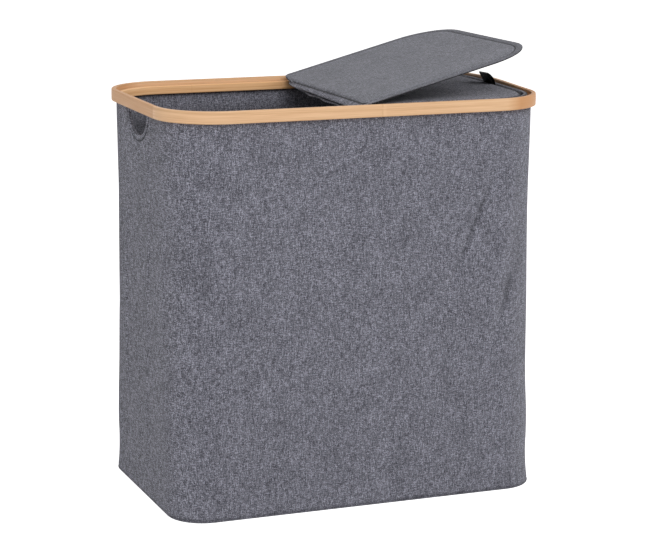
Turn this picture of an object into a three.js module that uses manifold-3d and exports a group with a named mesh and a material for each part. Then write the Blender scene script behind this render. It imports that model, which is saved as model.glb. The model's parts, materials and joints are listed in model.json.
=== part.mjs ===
// A laundry hamper with two bins: a heather-grey cloth bag that hangs from a bamboo rim, a cloth
// divider between its bins, four rods that hold the rim up, and a folding lid that lies in the rim.
// Millimetres, +Z up, +X to the right along the long side, +Y to the back, origin at the floor's centre.
// The lid is drawn as it stands in use: its right half lies closed, its left half is folded over it.

import * as THREE from "three";
import { mergeVertices } from "three/addons/utils/BufferGeometryUtils.js";
import Module from "manifold-3d";

// Clearance between pieces that touch, and how far a cutting solid runs past what it cuts
const fit = 0.3;
const overrun = 5;

// Rim: an outer and an inner bamboo band with the bag's top edge held between them
const rimLength = 550;
const rimDepth = 352;
const rimTop = 556;
const rimCornerRadius = 83.6;
const outerBandHeight = 16.8;
const outerBandThickness = 6.4;
const innerBandHeight = 11.7;
const innerBandThickness = 6;
const innerBandDrop = 1.5; // its lower edge hangs this far below the outer band's
const bandEdgeRound = 1.2;

// Bag
const clothThickness = 1.4;
const hemBelowLedge = 1.4; // the bag's top edge stays this far below the ledge that carries the lid
const baseDepth = 334;
const baseCornerRadius = 52; // the stiff base boards press the cloth into tighter corners
const shoulderCornerRadius = 67; // corner radius just above the base, where the cloth draws in
const flareHeight = 60; // the corners widen from that to the base within this height
const baseEdgeRound = 3;

// Hand holes in the short sides, directly under the rim, and the cloth facings sewn round them
const handleHalfWidth = 43;
const handleDepth = 34;
const handleTuck = 2; // the cut runs up this far behind the outer band
const handleFullness = 2; // exponent of the hole's outline: 2 is half an ellipse
const facingWidth = 11;
const facingThickness = 1.2;

// Base boards and the divider that stands between them
const boardThickness = 3;
const boardPlay = 1.5;
const boardInnerCornerRadius = 6;
const boardEdgeRound = 0.6;
const dividerThickness = 2;
const dividerTop = 505;
const bindingThickness = 1;
const bindingHeight = 13;
const bindingEdgeRound = 1.4;

// Support rods with their end caps and the sleeves that are sewn to the bag for them
const rodRadius = 2;
const rodHalfSpacing = 68;
const capRadius = 3;
const capHeight = 9;
const capSocketDepth = 6;
const capBore = 2.2;
const capEdgeRound = 1.2;
const sleeveThickness = 1;
const sleeveFlange = 6;
const sleeveBottomGap = 6;
const sleeveTopGap = 9;

// Lid halves: a board between a top cover and a lining, both of cloth, sewn together round the board
const lidThickness = 4.8;
const lidClothThickness = 0.8;
const lidMargin = 10.5; // from the edge to the stitch line
const lidMarginThickness = 3;
const lidShoulder = 3; // the cover climbs from the margin onto the board within this width
const lidEdgeRound = 1.2;
const lidEndGap = 1.7;
const lidSideGap = 1.6;
const leftLidLength = 270;
const lidHingeCornerRadius = 20;

// Fold between the halves: the axis that the left half turns about, and how it stands when folded over
const foldTiltDegrees = 14.7;
const foldAxisInset = 3.5; // the axis lies this far inside the left half's inner edge
const foldAxisAboveLining = 3.4;
const foldClearance = 0.4;
const stripThickness = 1.2;
const stripEndInset = 12;

// Pull tabs: a folded ribbon, sewn beside the stitch line near each free edge, that leans inwards
const tabWidth = 30;
const tabHeight = 17.5;
const tabLean = 12;
const tabBow = 2.6;
const tabThickness = 1.4;
const tabOffCentre = -7;

// Facets
const cornerSteps = 8;
const roundSteps = 16;
const handleSteps = 20;
const wallHeightShares = [0.02, 0.045, 0.075, 0.11, 0.3, 0.65];
const edgeShares = [0, 0.3, 1]; // places along a rounded edge, as shares of its height

// Heights that follow from the sizes above
const outerBandBottom = rimTop - outerBandHeight;
const innerBandBottom = outerBandBottom - innerBandDrop;
const ledge = innerBandBottom + innerBandHeight;
const wallTop = ledge - hemBelowLedge;
const boardBottom = clothThickness + fit;
const boardTop = boardBottom + boardThickness;
const liningBottom = ledge + fit;
const lidTop = liningBottom + lidThickness;
const foldAxisZ = liningBottom + foldAxisAboveLining;

// Half sizes of the bands, from the outside in
const rimHalfLength = rimLength / 2;
const rimHalfDepth = rimDepth / 2;
const bagInset = outerBandThickness + fit;
const innerBandInset = bagInset + clothThickness + fit;
const bagHalfLength = rimHalfLength - bagInset;
const wallFaceX = bagHalfLength - clothThickness;
const lidReach = rimHalfLength - outerBandThickness - lidEndGap;
const lidHalfDepth = rimHalfDepth - outerBandThickness - lidSideGap;
const lidFreeCornerRadius = rimCornerRadius - outerBandThickness - lidEndGap;
const leftLidNear = lidReach - leftLidLength;
const foldAxisX = -leftLidNear - foldAxisInset;

// Materials

function material(name, color, roughness, metalness) {
  const made = new THREE.MeshStandardMaterial({ color, roughness, metalness });
  made.name = name;
  return made;
}

const bamboo = material("bamboo", 0xd9a877, 0.5, 0);
const heatherCloth = material("heather_cloth", 0x6b6c75, 0.95, 0);
const hardboard = material("hardboard", 0x8a6b4d, 0.85, 0);
const blackSteel = material("black_steel", 0x2a2b2d, 0.45, 0.8);
const blackPlastic = material("black_plastic", 0x1c1c1d, 0.5, 0);
const ribbon = material("ribbon", 0x121214, 0.35, 0);

// Booleans

const wasm = await Module();
wasm.setup();

function solidOf(geometry) {
  const bare = geometry.index ? geometry.toNonIndexed() : geometry.clone();
  bare.deleteAttribute("normal");
  bare.deleteAttribute("uv");
  const merged = mergeVertices(bare);
  const vertProperties = merged.attributes.position.array;
  const triVerts = new Uint32Array(merged.index.array);
  return new wasm.Manifold(new wasm.Mesh({ numProp: 3, vertProperties, triVerts }));
}

function geometryOf(solid) {
  const mesh = solid.getMesh();
  const geometry = new THREE.BufferGeometry();
  geometry.setAttribute("position", new THREE.BufferAttribute(mesh.vertProperties, 3));
  geometry.setIndex(new THREE.BufferAttribute(mesh.triVerts, 1));
  geometry.computeVertexNormals();
  return geometry;
}

// Outlines, counterclockwise seen from above

function arc(centre, radius, startQuarter) {
  const points = [];
  for (let i = 0; i <= cornerSteps; i++) {
    const angle = (startQuarter + i / cornerSteps) * (Math.PI / 2);
    const x = centre.x + radius * Math.cos(angle);
    points.push(new THREE.Vector2(x, centre.y + radius * Math.sin(angle)));
  }
  return points;
}

// A rectangle from low to high, each corner with its own radius: back far, back near, front near, front far
function roundedOutline(low, high, radii) {
  const [backFar, backNear, frontNear, frontFar] = radii;
  return [
    ...arc(new THREE.Vector2(high.x - backFar, high.y - backFar), backFar, 0),
    ...arc(new THREE.Vector2(low.x + backNear, high.y - backNear), backNear, 1),
    ...arc(new THREE.Vector2(low.x + frontNear, low.y + frontNear), frontNear, 2),
    ...arc(new THREE.Vector2(high.x - frontFar, low.y + frontFar), frontFar, 3),
  ];
}

function rimOutline(inset) {
  const high = new THREE.Vector2(rimHalfLength - inset, rimHalfDepth - inset);
  const radius = rimCornerRadius - inset;
  return roundedOutline(high.clone().negate(), high, [radius, radius, radius, radius]);
}

// The bag's corner radius: wide at the rim, drawn in above the base, tight round the base boards
function bagCornerRadius(height) {
  const atRim = rimCornerRadius - bagInset;
  const above = THREE.MathUtils.lerp(shoulderCornerRadius, atRim, height / wallTop);
  const flareShare = Math.max(0, 1 - height / flareHeight);
  return above - (shoulderCornerRadius - baseCornerRadius) * flareShare * flareShare;
}

function bagOutline(height, inset) {
  const halfDepth = THREE.MathUtils.lerp(baseDepth / 2, rimHalfDepth - bagInset, height / wallTop);
  const high = new THREE.Vector2(bagHalfLength - inset, halfDepth - inset);
  const radius = bagCornerRadius(height) - inset;
  return roundedOutline(high.clone().negate(), high, [radius, radius, radius, radius]);
}

// One half of the plan, from near the middle to far out, on the right (side 1) or mirrored (side -1)
function halfOutline(side, near, far, halfDepth, farRadius, nearRadius, inset) {
  const outer = farRadius - inset;
  const inner = nearRadius - inset;
  const low = new THREE.Vector2(near + inset, inset - halfDepth);
  const high = new THREE.Vector2(far - inset, halfDepth - inset);
  const right = roundedOutline(low, high, [outer, inner, inner, outer]);
  if (side > 0) return right;
  return right.map((point) => new THREE.Vector2(-point.x, point.y)).reverse();
}

// Lofts through rings of equal point counts

function ringAt(outline, height) {
  return outline.map((point) => new THREE.Vector3(point.x, point.y, height));
}

function loft(rings, joinsEnds) {
  const count = rings[0].length;
  const positions = [];
  for (const ring of rings) {
    for (const point of ring) positions.push(point.x, point.y, point.z);
  }
  const index = [];
  const spans = joinsEnds ? rings.length : rings.length - 1;
  for (let i = 0; i < spans; i++) {
    const below = i * count;
    const above = ((i + 1) % rings.length) * count;
    for (let j = 0; j < count; j++) {
      const next = (j + 1) % count;
      index.push(below + j, below + next, above + next, below + j, above + next, above + j);
    }
  }
  if (!joinsEnds) {
    const lastStart = (rings.length - 1) * count;
    const flat = (ring) => ring.map((point) => new THREE.Vector2(point.x, point.y));
    const firstCap = THREE.ShapeUtils.triangulateShape(flat(rings[0]), []);
    const lastCap = THREE.ShapeUtils.triangulateShape(flat(rings.at(-1)), []);
    for (const [a, b, c] of firstCap) index.push(c, b, a);
    for (const [a, b, c] of lastCap) index.push(lastStart + a, lastStart + b, lastStart + c);
  }
  const geometry = new THREE.BufferGeometry();
  geometry.setAttribute("position", new THREE.Float32BufferAttribute(positions, 3));
  geometry.setIndex(index);
  geometry.computeVertexNormals();
  return geometry;
}

// Height and inset of the places along a rounded edge, from the flat face to the upright side
function edgePlaces(radius) {
  return edgeShares.map((share) => {
    const height = radius * share;
    const reach = radius - height;
    return { height, inset: radius - Math.sqrt(radius * radius - reach * reach) };
  });
}

// A plate between two heights whose outline is drawn by a function of its inset, with rounded edges
function plate(outlineOf, bottom, top, edgeRound) {
  const places = edgePlaces(edgeRound);
  const rings = places.map((place) => ringAt(outlineOf(place.inset), bottom + place.height));
  for (const place of [...places].reverse()) {
    rings.push(ringAt(outlineOf(place.inset), top - place.height));
  }
  return loft(rings, false);
}

// A flat profile in the XZ plane, drawn out along Y between two places
function alongDepth(points, from, to) {
  const shape = new THREE.Shape(points.map(([x, z]) => new THREE.Vector2(x, z)));
  const geometry = new THREE.ExtrudeGeometry(shape, { depth: to - from, bevelEnabled: false });
  geometry.rotateX(Math.PI / 2);
  geometry.translate(0, to, 0);
  return geometry;
}

// Rim

function band(inset, thickness, bottom, top) {
  const places = edgePlaces(bandEdgeRound);
  const outer = places.map((place) => [inset + place.inset, bottom + place.height]);
  for (const place of [...places].reverse()) outer.push([inset + place.inset, top - place.height]);
  const inner = places.map((place) => [inset + thickness - place.inset, top - place.height]);
  for (const place of [...places].reverse()) {
    inner.push([inset + thickness - place.inset, bottom + place.height]);
  }
  const rings = [...outer, ...inner].map(([depth, height]) => ringAt(rimOutline(depth), height));
  return loft(rings, true);
}

// Bag

// Heights and insets of the rings up the outside of the bag's wall
function wallPlaces() {
  const places = edgePlaces(baseEdgeRound);
  for (const share of wallHeightShares) places.push({ height: wallTop * share, inset: 0 });
  places.push({ height: wallTop, inset: 0 });
  return places;
}

// Half the outline of a hand hole that is wider by spread, from one side to the other below a height
function handleCurve(spread, height) {
  const top = outerBandBottom + handleTuck;
  const halfWidth = handleHalfWidth + spread;
  const depth = handleDepth + handleTuck + spread;
  const startShare = ((top - height) / depth) ** (handleFullness / 2);
  const start = Math.asin(startShare);
  const points = [];
  for (let i = 0; i <= handleSteps; i++) {
    const angle = THREE.MathUtils.lerp(start, Math.PI - start, i / handleSteps);
    const across = Math.abs(Math.cos(angle)) ** (2 / handleFullness);
    const down = Math.sin(angle) ** (2 / handleFullness);
    points.push(new THREE.Vector2(Math.sign(Math.cos(angle)) * halfWidth * across, top - depth * down));
  }
  return points;
}

// A profile drawn in the YZ plane, from x = from to x = to
function alongLength(points, from, to) {
  const shape = new THREE.Shape(points);
  const geometry = new THREE.ExtrudeGeometry(shape, { depth: to - from, bevelEnabled: false });
  geometry.rotateX(Math.PI / 2);
  geometry.rotateZ(Math.PI / 2);
  geometry.translate(from, 0, 0);
  return geometry;
}

function bagWall() {
  const places = wallPlaces();
  const outer = places.map((place) => ringAt(bagOutline(place.height, place.inset), place.height));
  const inner = places.map((place) => {
    const inset = place.inset + clothThickness;
    return ringAt(bagOutline(place.height, inset), place.height);
  });
  const wall = solidOf(loft([...outer, ...inner.reverse()], true));
  const reach = bagHalfLength + overrun;
  const handHoles = alongLength(handleCurve(0, outerBandBottom + handleTuck), -reach, reach);
  return geometryOf(wall.subtract(solidOf(handHoles)));
}

function handleFacing(side) {
  const height = innerBandBottom - fit;
  const outer = handleCurve(facingWidth, height);
  const inner = handleCurve(0, height).reverse();
  const near = wallFaceX - fit - facingThickness;
  const far = wallFaceX - fit;
  const [from, to] = side > 0 ? [near, far] : [-far, -near];
  return alongLength([...outer, ...inner], from, to);
}

function bagFloor() {
  const inset = baseEdgeRound + clothThickness + fit;
  const bottomRing = ringAt(bagOutline(0, inset), 0);
  const topRing = ringAt(bagOutline(0, inset), clothThickness);
  return loft([bottomRing, topRing], false);
}

function baseBoard(side) {
  const inset = clothThickness + boardPlay;
  const near = dividerThickness / 2 + fit;
  const far = bagHalfLength - inset;
  const halfDepth = baseDepth / 2 - inset;
  const farRadius = bagCornerRadius(boardTop) - inset;
  const outlineOf = (edgeInset) =>
    halfOutline(side, near, far, halfDepth, farRadius, boardInnerCornerRadius, edgeInset);
  return plate(outlineOf, boardBottom, boardTop, boardEdgeRound);
}

// The space inside the bag, smaller than the wall's inner face by the fit
function bagSpace(top) {
  const heights = [boardBottom, boardTop];
  for (const share of wallHeightShares) heights.push(wallTop * share);
  const used = heights.filter((height) => height < top);
  used.push(top);
  const inset = clothThickness + fit;
  const turnInset = (height) => (height < baseEdgeRound ? inset + baseEdgeRound - height : inset);
  const rings = used.map((height) => ringAt(bagOutline(height, turnInset(height)), height));
  return solidOf(loft(rings, false));
}

function slab(thickness, bottom, top) {
  const half = thickness / 2;
  const corners = [
    [-half, bottom],
    [half, bottom],
    [half, top],
    [-half, top],
  ];
  const reach = rimHalfDepth + overrun;
  return solidOf(alongDepth(corners, -reach, reach));
}

function divider() {
  const cloth = slab(dividerThickness, boardBottom, dividerTop);
  return geometryOf(bagSpace(dividerTop).intersect(cloth));
}

// A folded strip of cloth over the divider's top edge
function dividerBinding() {
  const slotHalf = dividerThickness / 2 + fit;
  const half = slotHalf + bindingThickness;
  const top = dividerTop + fit + bindingThickness;
  const bottom = top - bindingHeight;
  const inside = top - bindingThickness;
  const profile = [
    [-half, bottom],
    [-slotHalf, bottom],
    [-slotHalf, inside],
    [slotHalf, inside],
    [slotHalf, bottom],
    [half, bottom],
    [half, top - bindingEdgeRound],
    [half - bindingEdgeRound, top],
    [bindingEdgeRound - half, top],
    [-half, top - bindingEdgeRound],
  ];
  const reach = rimHalfDepth + overrun;
  const folded = solidOf(alongDepth(profile, -reach, reach));
  return geometryOf(bagSpace(top + overrun).intersect(folded));
}

// Rods, caps and sleeves

const rodX = wallFaceX - fit - capRadius;
const lowerCapBottom = boardTop + fit;
const upperCapTop = innerBandBottom - fit;
const capFloor = capHeight - capSocketDepth;

// A closed cap with a blind socket for the rod's end, drawn with the socket facing up
function endCap() {
  const profile = [
    [0, 0],
    [capRadius - capEdgeRound, 0],
    [capRadius, capEdgeRound],
    [capRadius, capHeight],
    [capBore, capHeight],
    [capBore, capFloor],
    [0, capFloor],
  ];
  const points = profile.map(([radius, height]) => new THREE.Vector2(radius, height));
  const geometry = new THREE.LatheGeometry(points, roundSteps);
  geometry.rotateX(Math.PI / 2);
  return geometry;
}

function rod() {
  const bottom = lowerCapBottom + capFloor + fit;
  const top = upperCapTop - capFloor - fit;
  const geometry = new THREE.CylinderGeometry(rodRadius, rodRadius, top - bottom, roundSteps);
  geometry.rotateX(Math.PI / 2);
  geometry.translate(0, 0, (bottom + top) / 2);
  return geometry;
}

// A channel of cloth round the rod, open to the wall, with a flange on each side that is sewn to it
function rodSleeve(side) {
  const innerRadius = capRadius + fit;
  const outerRadius = innerRadius + sleeveThickness;
  const wallSide = capRadius;
  const flangeFace = wallSide - sleeveThickness;
  const shape = new THREE.Shape();
  shape.moveTo(wallSide, outerRadius + sleeveFlange);
  shape.lineTo(flangeFace, outerRadius + sleeveFlange);
  shape.lineTo(flangeFace, outerRadius);
  shape.lineTo(0, outerRadius);
  shape.absarc(0, 0, outerRadius, Math.PI / 2, -Math.PI / 2, false);
  shape.lineTo(flangeFace, -outerRadius);
  shape.lineTo(flangeFace, -outerRadius - sleeveFlange);
  shape.lineTo(wallSide, -outerRadius - sleeveFlange);
  shape.lineTo(wallSide, -innerRadius);
  shape.lineTo(0, -innerRadius);
  shape.absarc(0, 0, innerRadius, -Math.PI / 2, Math.PI / 2, true);
  shape.lineTo(wallSide, innerRadius);
  const bottom = boardTop + sleeveBottomGap;
  const top = innerBandBottom - sleeveTopGap;
  const settings = { depth: top - bottom, bevelEnabled: false, curveSegments: cornerSteps };
  const geometry = new THREE.ExtrudeGeometry(shape, settings);
  if (side < 0) geometry.rotateZ(Math.PI);
  geometry.translate(0, 0, bottom);
  return geometry;
}

// Lid

const foldTilt = THREE.MathUtils.degToRad(foldTiltDegrees);
const topAboveAxis = lidTop - foldAxisZ;

// The right half starts where its top edge clears the face of the folded left half
const rightLidNear =
  foldAxisX + (topAboveAxis * (1 + Math.cos(foldTilt)) + foldClearance) / Math.sin(foldTilt);

function lidOutline(side, inset) {
  const near = side > 0 ? rightLidNear : leftLidNear;
  const hingeRadius = lidHingeCornerRadius;
  return halfOutline(side, near, lidReach, lidHalfDepth, lidFreeCornerRadius, hingeRadius, inset);
}

const lidInside = lidClothThickness + fit;
const marginTop = liningBottom + lidMarginThickness;
const onBoard = lidMargin + lidShoulder;

// A cover of cloth, open below: its thin margin lies on the lining's, its middle on the board
function lidTopCover(side) {
  const marginBottom = liningBottom + lidInside;
  const rings = [
    ringAt(lidOutline(side, onBoard), lidTop - lidClothThickness),
    ringAt(lidOutline(side, lidMargin), marginBottom),
    ringAt(lidOutline(side, 0), marginBottom),
  ];
  for (const place of edgePlaces(lidEdgeRound).reverse()) {
    rings.push(ringAt(lidOutline(side, place.inset), marginTop - place.height));
  }
  rings.push(ringAt(lidOutline(side, lidMargin), marginTop));
  rings.push(ringAt(lidOutline(side, onBoard), lidTop));
  return loft(rings, false);
}

function lidBoard(side) {
  const outlineOf = (inset) => lidOutline(side, onBoard + fit + inset);
  return plate(outlineOf, liningBottom + lidInside, lidTop - lidInside, boardEdgeRound);
}

function lidLining(side) {
  const outline = lidOutline(side, 0);
  const rings = [ringAt(outline, liningBottom), ringAt(outline, liningBottom + lidClothThickness)];
  return loft(rings, false);
}

// The cloth between the halves: flat beside the right half's lining, then folded up to the margin of the
// left half as it lies folded over, and clear of the left half's turning edge
function hingeStrip() {
  const edgeReach = Math.hypot(foldAxisInset, foldAxisAboveLining);
  const near = foldAxisX + edgeReach + fit;
  const far = rightLidNear - fit;
  const flatTop = liningBottom + stripThickness;
  const marginLift = (foldAxisZ - marginTop - fit) / Math.cos(foldTilt);
  const foldTop = foldAxisZ + (near - foldAxisX) * Math.tan(foldTilt) + marginLift;
  const profile = [
    [near, liningBottom],
    [far, liningBottom],
    [far, flatTop],
    [near + stripThickness, flatTop],
    [near + stripThickness, foldTop],
    [near, foldTop],
  ];
  const reach = lidHalfDepth - stripEndInset;
  return alongDepth(profile, -reach, reach);
}

// A doubled ribbon whose middle line bows as it leans from its seam towards the middle of the hamper
function pullTab(side) {
  const lowest = marginTop + fit;
  const inset = lidMargin - fit - tabThickness / 2;
  const seam = new THREE.Vector2(side * (lidReach - inset), lowest);
  const lean = new THREE.Vector2(-side * tabLean, tabHeight);
  const across = new THREE.Vector2(lean.y, -lean.x).normalize().multiplyScalar(side);
  const face = (offset) => {
    const points = [];
    for (let i = 0; i <= cornerSteps; i++) {
      const share = i / cornerSteps;
      const bow = offset + tabBow * Math.sin(Math.PI * share);
      points.push(seam.clone().addScaledVector(lean, share).addScaledVector(across, bow));
    }
    return points;
  };
  const outline = [...face(tabThickness / 2), ...face(-tabThickness / 2).reverse()];
  for (const point of outline) point.y = Math.max(point.y, lowest);
  const profile = outline.map((point) => [point.x, point.y]);
  const reach = tabWidth / 2;
  return alongDepth(profile, tabOffCentre - reach, tabOffCentre + reach);
}

// Assembly

function piece(name, geometry, finish) {
  const mesh = new THREE.Mesh(geometry, finish);
  mesh.name = name;
  return mesh;
}

const group = new THREE.Group();
const sides = [
  { name: "left", side: -1 },
  { name: "right", side: 1 },
];
const ends = [
  { name: "front", y: -rodHalfSpacing },
  { name: "back", y: rodHalfSpacing },
];

group.add(piece("rim_outer_band", band(0, outerBandThickness, outerBandBottom, rimTop), bamboo));
group.add(
  piece("rim_inner_band", band(innerBandInset, innerBandThickness, innerBandBottom, ledge), bamboo),
);
group.add(piece("bag_wall", bagWall(), heatherCloth));
group.add(piece("bag_floor", bagFloor(), heatherCloth));
group.add(piece("divider_panel", divider(), heatherCloth));
group.add(piece("divider_binding", dividerBinding(), heatherCloth));

for (const { name, side } of sides) {
  group.add(piece("base_board_" + name, baseBoard(side), hardboard));
  group.add(piece("handle_facing_" + name, handleFacing(side), heatherCloth));
  for (const end of ends) {
    const place = new THREE.Group();
    place.position.set(side * rodX, end.y, 0);
    const corner = end.name + "_" + name;
    const lowerCap = piece("rod_foot_" + corner, endCap(), blackPlastic);
    lowerCap.position.z = lowerCapBottom;
    const upperCap = piece("rod_tip_" + corner, endCap(), blackPlastic);
    upperCap.rotation.x = Math.PI;
    upperCap.position.z = upperCapTop;
    place.add(piece("support_rod_" + corner, rod(), blackSteel), lowerCap, upperCap);
    place.add(piece("rod_sleeve_" + corner, rodSleeve(side), heatherCloth));
    group.add(place);
  }
}

function lidHalf(name, side) {
  const half = new THREE.Group();
  half.add(piece("lid_" + name + "_top_cover", lidTopCover(side), heatherCloth));
  half.add(piece("lid_" + name + "_board", lidBoard(side), hardboard));
  half.add(piece("lid_" + name + "_lining", lidLining(side), heatherCloth));
  half.add(piece("pull_tab_" + name, pullTab(side), ribbon));
  return half;
}

const rightHalf = lidHalf("right", 1);
rightHalf.add(piece("hinge_strip", hingeStrip(), heatherCloth));
group.add(rightHalf);

// The left half is drawn closed and turned over about the fold
const leftHalf = lidHalf("left", -1);
leftHalf.position.set(-foldAxisX, 0, -foldAxisZ);
const fold = new THREE.Group();
fold.position.set(foldAxisX, 0, foldAxisZ);
fold.rotation.y = Math.PI - foldTilt;
fold.add(leftHalf);
group.add(fold);

export default group;
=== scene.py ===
"""A laundry hamper with two bins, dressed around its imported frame.

The bamboo rim, the cloth bag with its divider, the folding lid and the cloth between the lid's halves are
modelled here as fine meshes that stand for the frame's plain solids. The base boards, the rods and their
caps keep the frame's meshes and get finishes. Metres, +Z up, +X to the right, +Y to the back.
"""

import json
import logging
import math
from collections.abc import Callable, Iterable, Sequence
from dataclasses import dataclass, field
from enum import Enum

import bmesh
import bpy
import numpy as np
from mathutils import Matrix, Vector, noise
from mathutils.geometry import delaunay_2d_cdt


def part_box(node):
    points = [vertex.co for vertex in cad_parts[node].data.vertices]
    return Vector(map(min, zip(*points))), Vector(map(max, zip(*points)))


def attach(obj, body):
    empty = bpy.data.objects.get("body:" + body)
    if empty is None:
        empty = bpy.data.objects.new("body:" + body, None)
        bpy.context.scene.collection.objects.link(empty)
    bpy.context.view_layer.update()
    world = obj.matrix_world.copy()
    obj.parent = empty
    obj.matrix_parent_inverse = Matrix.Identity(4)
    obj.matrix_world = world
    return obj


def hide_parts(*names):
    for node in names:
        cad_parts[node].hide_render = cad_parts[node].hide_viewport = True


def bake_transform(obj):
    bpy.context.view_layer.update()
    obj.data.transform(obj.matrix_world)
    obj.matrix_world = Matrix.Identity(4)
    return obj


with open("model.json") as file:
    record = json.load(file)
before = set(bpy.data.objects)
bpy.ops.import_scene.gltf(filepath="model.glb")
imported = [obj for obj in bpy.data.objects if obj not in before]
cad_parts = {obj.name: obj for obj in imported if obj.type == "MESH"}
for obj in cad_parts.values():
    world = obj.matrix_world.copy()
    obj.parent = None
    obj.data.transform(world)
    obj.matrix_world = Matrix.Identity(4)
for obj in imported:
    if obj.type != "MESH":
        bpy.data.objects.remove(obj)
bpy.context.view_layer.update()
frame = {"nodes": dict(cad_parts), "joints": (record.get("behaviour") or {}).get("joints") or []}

log = logging.getLogger("hamper")

MM = 0.001
HALF_TURN = math.pi
QUARTER_TURN = math.pi / 2

# Where along the right side the rim's outer band and the lid's free end bend up, and how far to each side
RISE_MIDDLE = 25 * MM
RISE_REACH = 90 * MM


class Body(Enum):
    """The bodies of the frame that pieces ride on."""

    HAMPER = "hamper"
    LID_RIGHT = "lid_right"
    LID_LEFT = "lid_left"


class Slot(Enum):
    """The finishes that the record names."""

    BAMBOO = "bamboo"
    CLOTH = "heather_cloth"
    HARDBOARD = "hardboard"
    STEEL = "black_steel"
    PLASTIC = "black_plastic"
    RIBBON = "ribbon"


class Side(Enum):
    """The left and the right of the hamper, with the sign of X there."""

    LEFT = -1
    RIGHT = 1

    @property
    def word(self) -> str:
        """The side's name as the frame's nodes spell it."""
        return self.name.lower()


# Numbers and outlines


def ease(value: float | np.ndarray, low: float, high: float) -> float | np.ndarray:
    """Climbs smoothly from 0 at low to 1 at high."""
    share = np.clip((value - low) / (high - low), 0.0, 1.0)
    return share * share * (3 - 2 * share)


def bell(distance: float | np.ndarray, width: float) -> float | np.ndarray:
    """A smooth hump of height 1 over distance 0, about twice as wide as width."""
    return np.exp(-((distance / width) ** 2))


def run_length(points: Sequence) -> float:
    """The length of a line through points."""
    return float(np.sum(np.linalg.norm(np.diff(np.array(points), axis=0), axis=1)))


def smooth_noise(point: Sequence[float], size: float, seed: float = 0.0) -> float:
    """Soft noise between -1 and 1 whose lumps are about as wide as size."""
    x, y, z = point
    return noise.noise(Vector((x / size + seed, y / size - seed, z / size + 2 * seed)))


def quarter_arc(centre: tuple[float, float], radius: float, start: float, steps: int) -> np.ndarray:
    """Points round a quarter circle, counterclockwise, without its last point."""
    angles = start + QUARTER_TURN * np.arange(steps) / steps
    return np.stack([centre[0] + radius * np.cos(angles), centre[1] + radius * np.sin(angles)], axis=1)


def straight(start: Sequence[float], end: Sequence[float], steps: int) -> np.ndarray:
    """Points from start towards end in equal steps, without the end."""
    shares = (np.arange(steps) / steps)[:, None]
    return np.asarray(start) * (1 - shares) + np.asarray(end) * shares


def at_height(line: np.ndarray, height: float) -> np.ndarray:
    """The points of a flat line of X and Y, all at one height."""
    return np.column_stack([line, np.full(len(line), height)])


@dataclass(frozen=True)
class RoundedLoop:
    """A loop round a rectangle with rounded corners, from the middle of the back, by the left and the front.

    Attributes:
        long_steps: Steps along each long side.
        short_steps: Steps along each short side.
        corner_steps: Steps round each corner.
    """

    long_steps: int = 96
    short_steps: int = 46
    corner_steps: int = 20

    @property
    def left_start(self) -> int:
        """The index of the first point of the left side's straight part."""
        return self.long_steps // 2 + self.corner_steps

    @property
    def right_start(self) -> int:
        """The index of the first point of the right side's straight part."""
        return self.left_start + self.short_steps + self.long_steps + 2 * self.corner_steps

    def points(self, half_x: float, half_y: float, radius: float) -> np.ndarray:
        """The loop's points.

        Args:
            half_x: Half the rectangle's length.
            half_y: Half its depth.
            radius: Its corners' radius.

        Returns:
            An array of X and Y, one row a point.
        """
        x, y, half = half_x - radius, half_y - radius, self.long_steps // 2
        return np.concatenate([
            straight((0, half_y), (-x, half_y), half),
            quarter_arc((-x, y), radius, QUARTER_TURN, self.corner_steps),
            straight((-half_x, y), (-half_x, -y), self.short_steps),
            quarter_arc((-x, -y), radius, HALF_TURN, self.corner_steps),
            straight((-x, -half_y), (x, -half_y), self.long_steps),
            quarter_arc((x, -y), radius, 3 * QUARTER_TURN, self.corner_steps),
            straight((half_x, -y), (half_x, y), self.short_steps),
            quarter_arc((x, y), radius, 0, self.corner_steps),
            straight((x, half_y), (0, half_y), half),
        ])

    def lengths(self, half_x: float, half_y: float, radius: float) -> np.ndarray:
        """How far along the loop each point lies, counted from the middle of the front.

        Args:
            half_x: Half the rectangle's length.
            half_y: Half its depth.
            radius: Its corners' radius.

        Returns:
            One more value than the loop has points, because the loop closes on its first point.
        """
        points = self.points(half_x, half_y, radius)
        closed = np.vstack([points, points[:1]])
        along = np.concatenate([[0], np.cumsum(np.linalg.norm(np.diff(closed, axis=0), axis=1))])
        return along - along[-1] / 2


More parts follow.
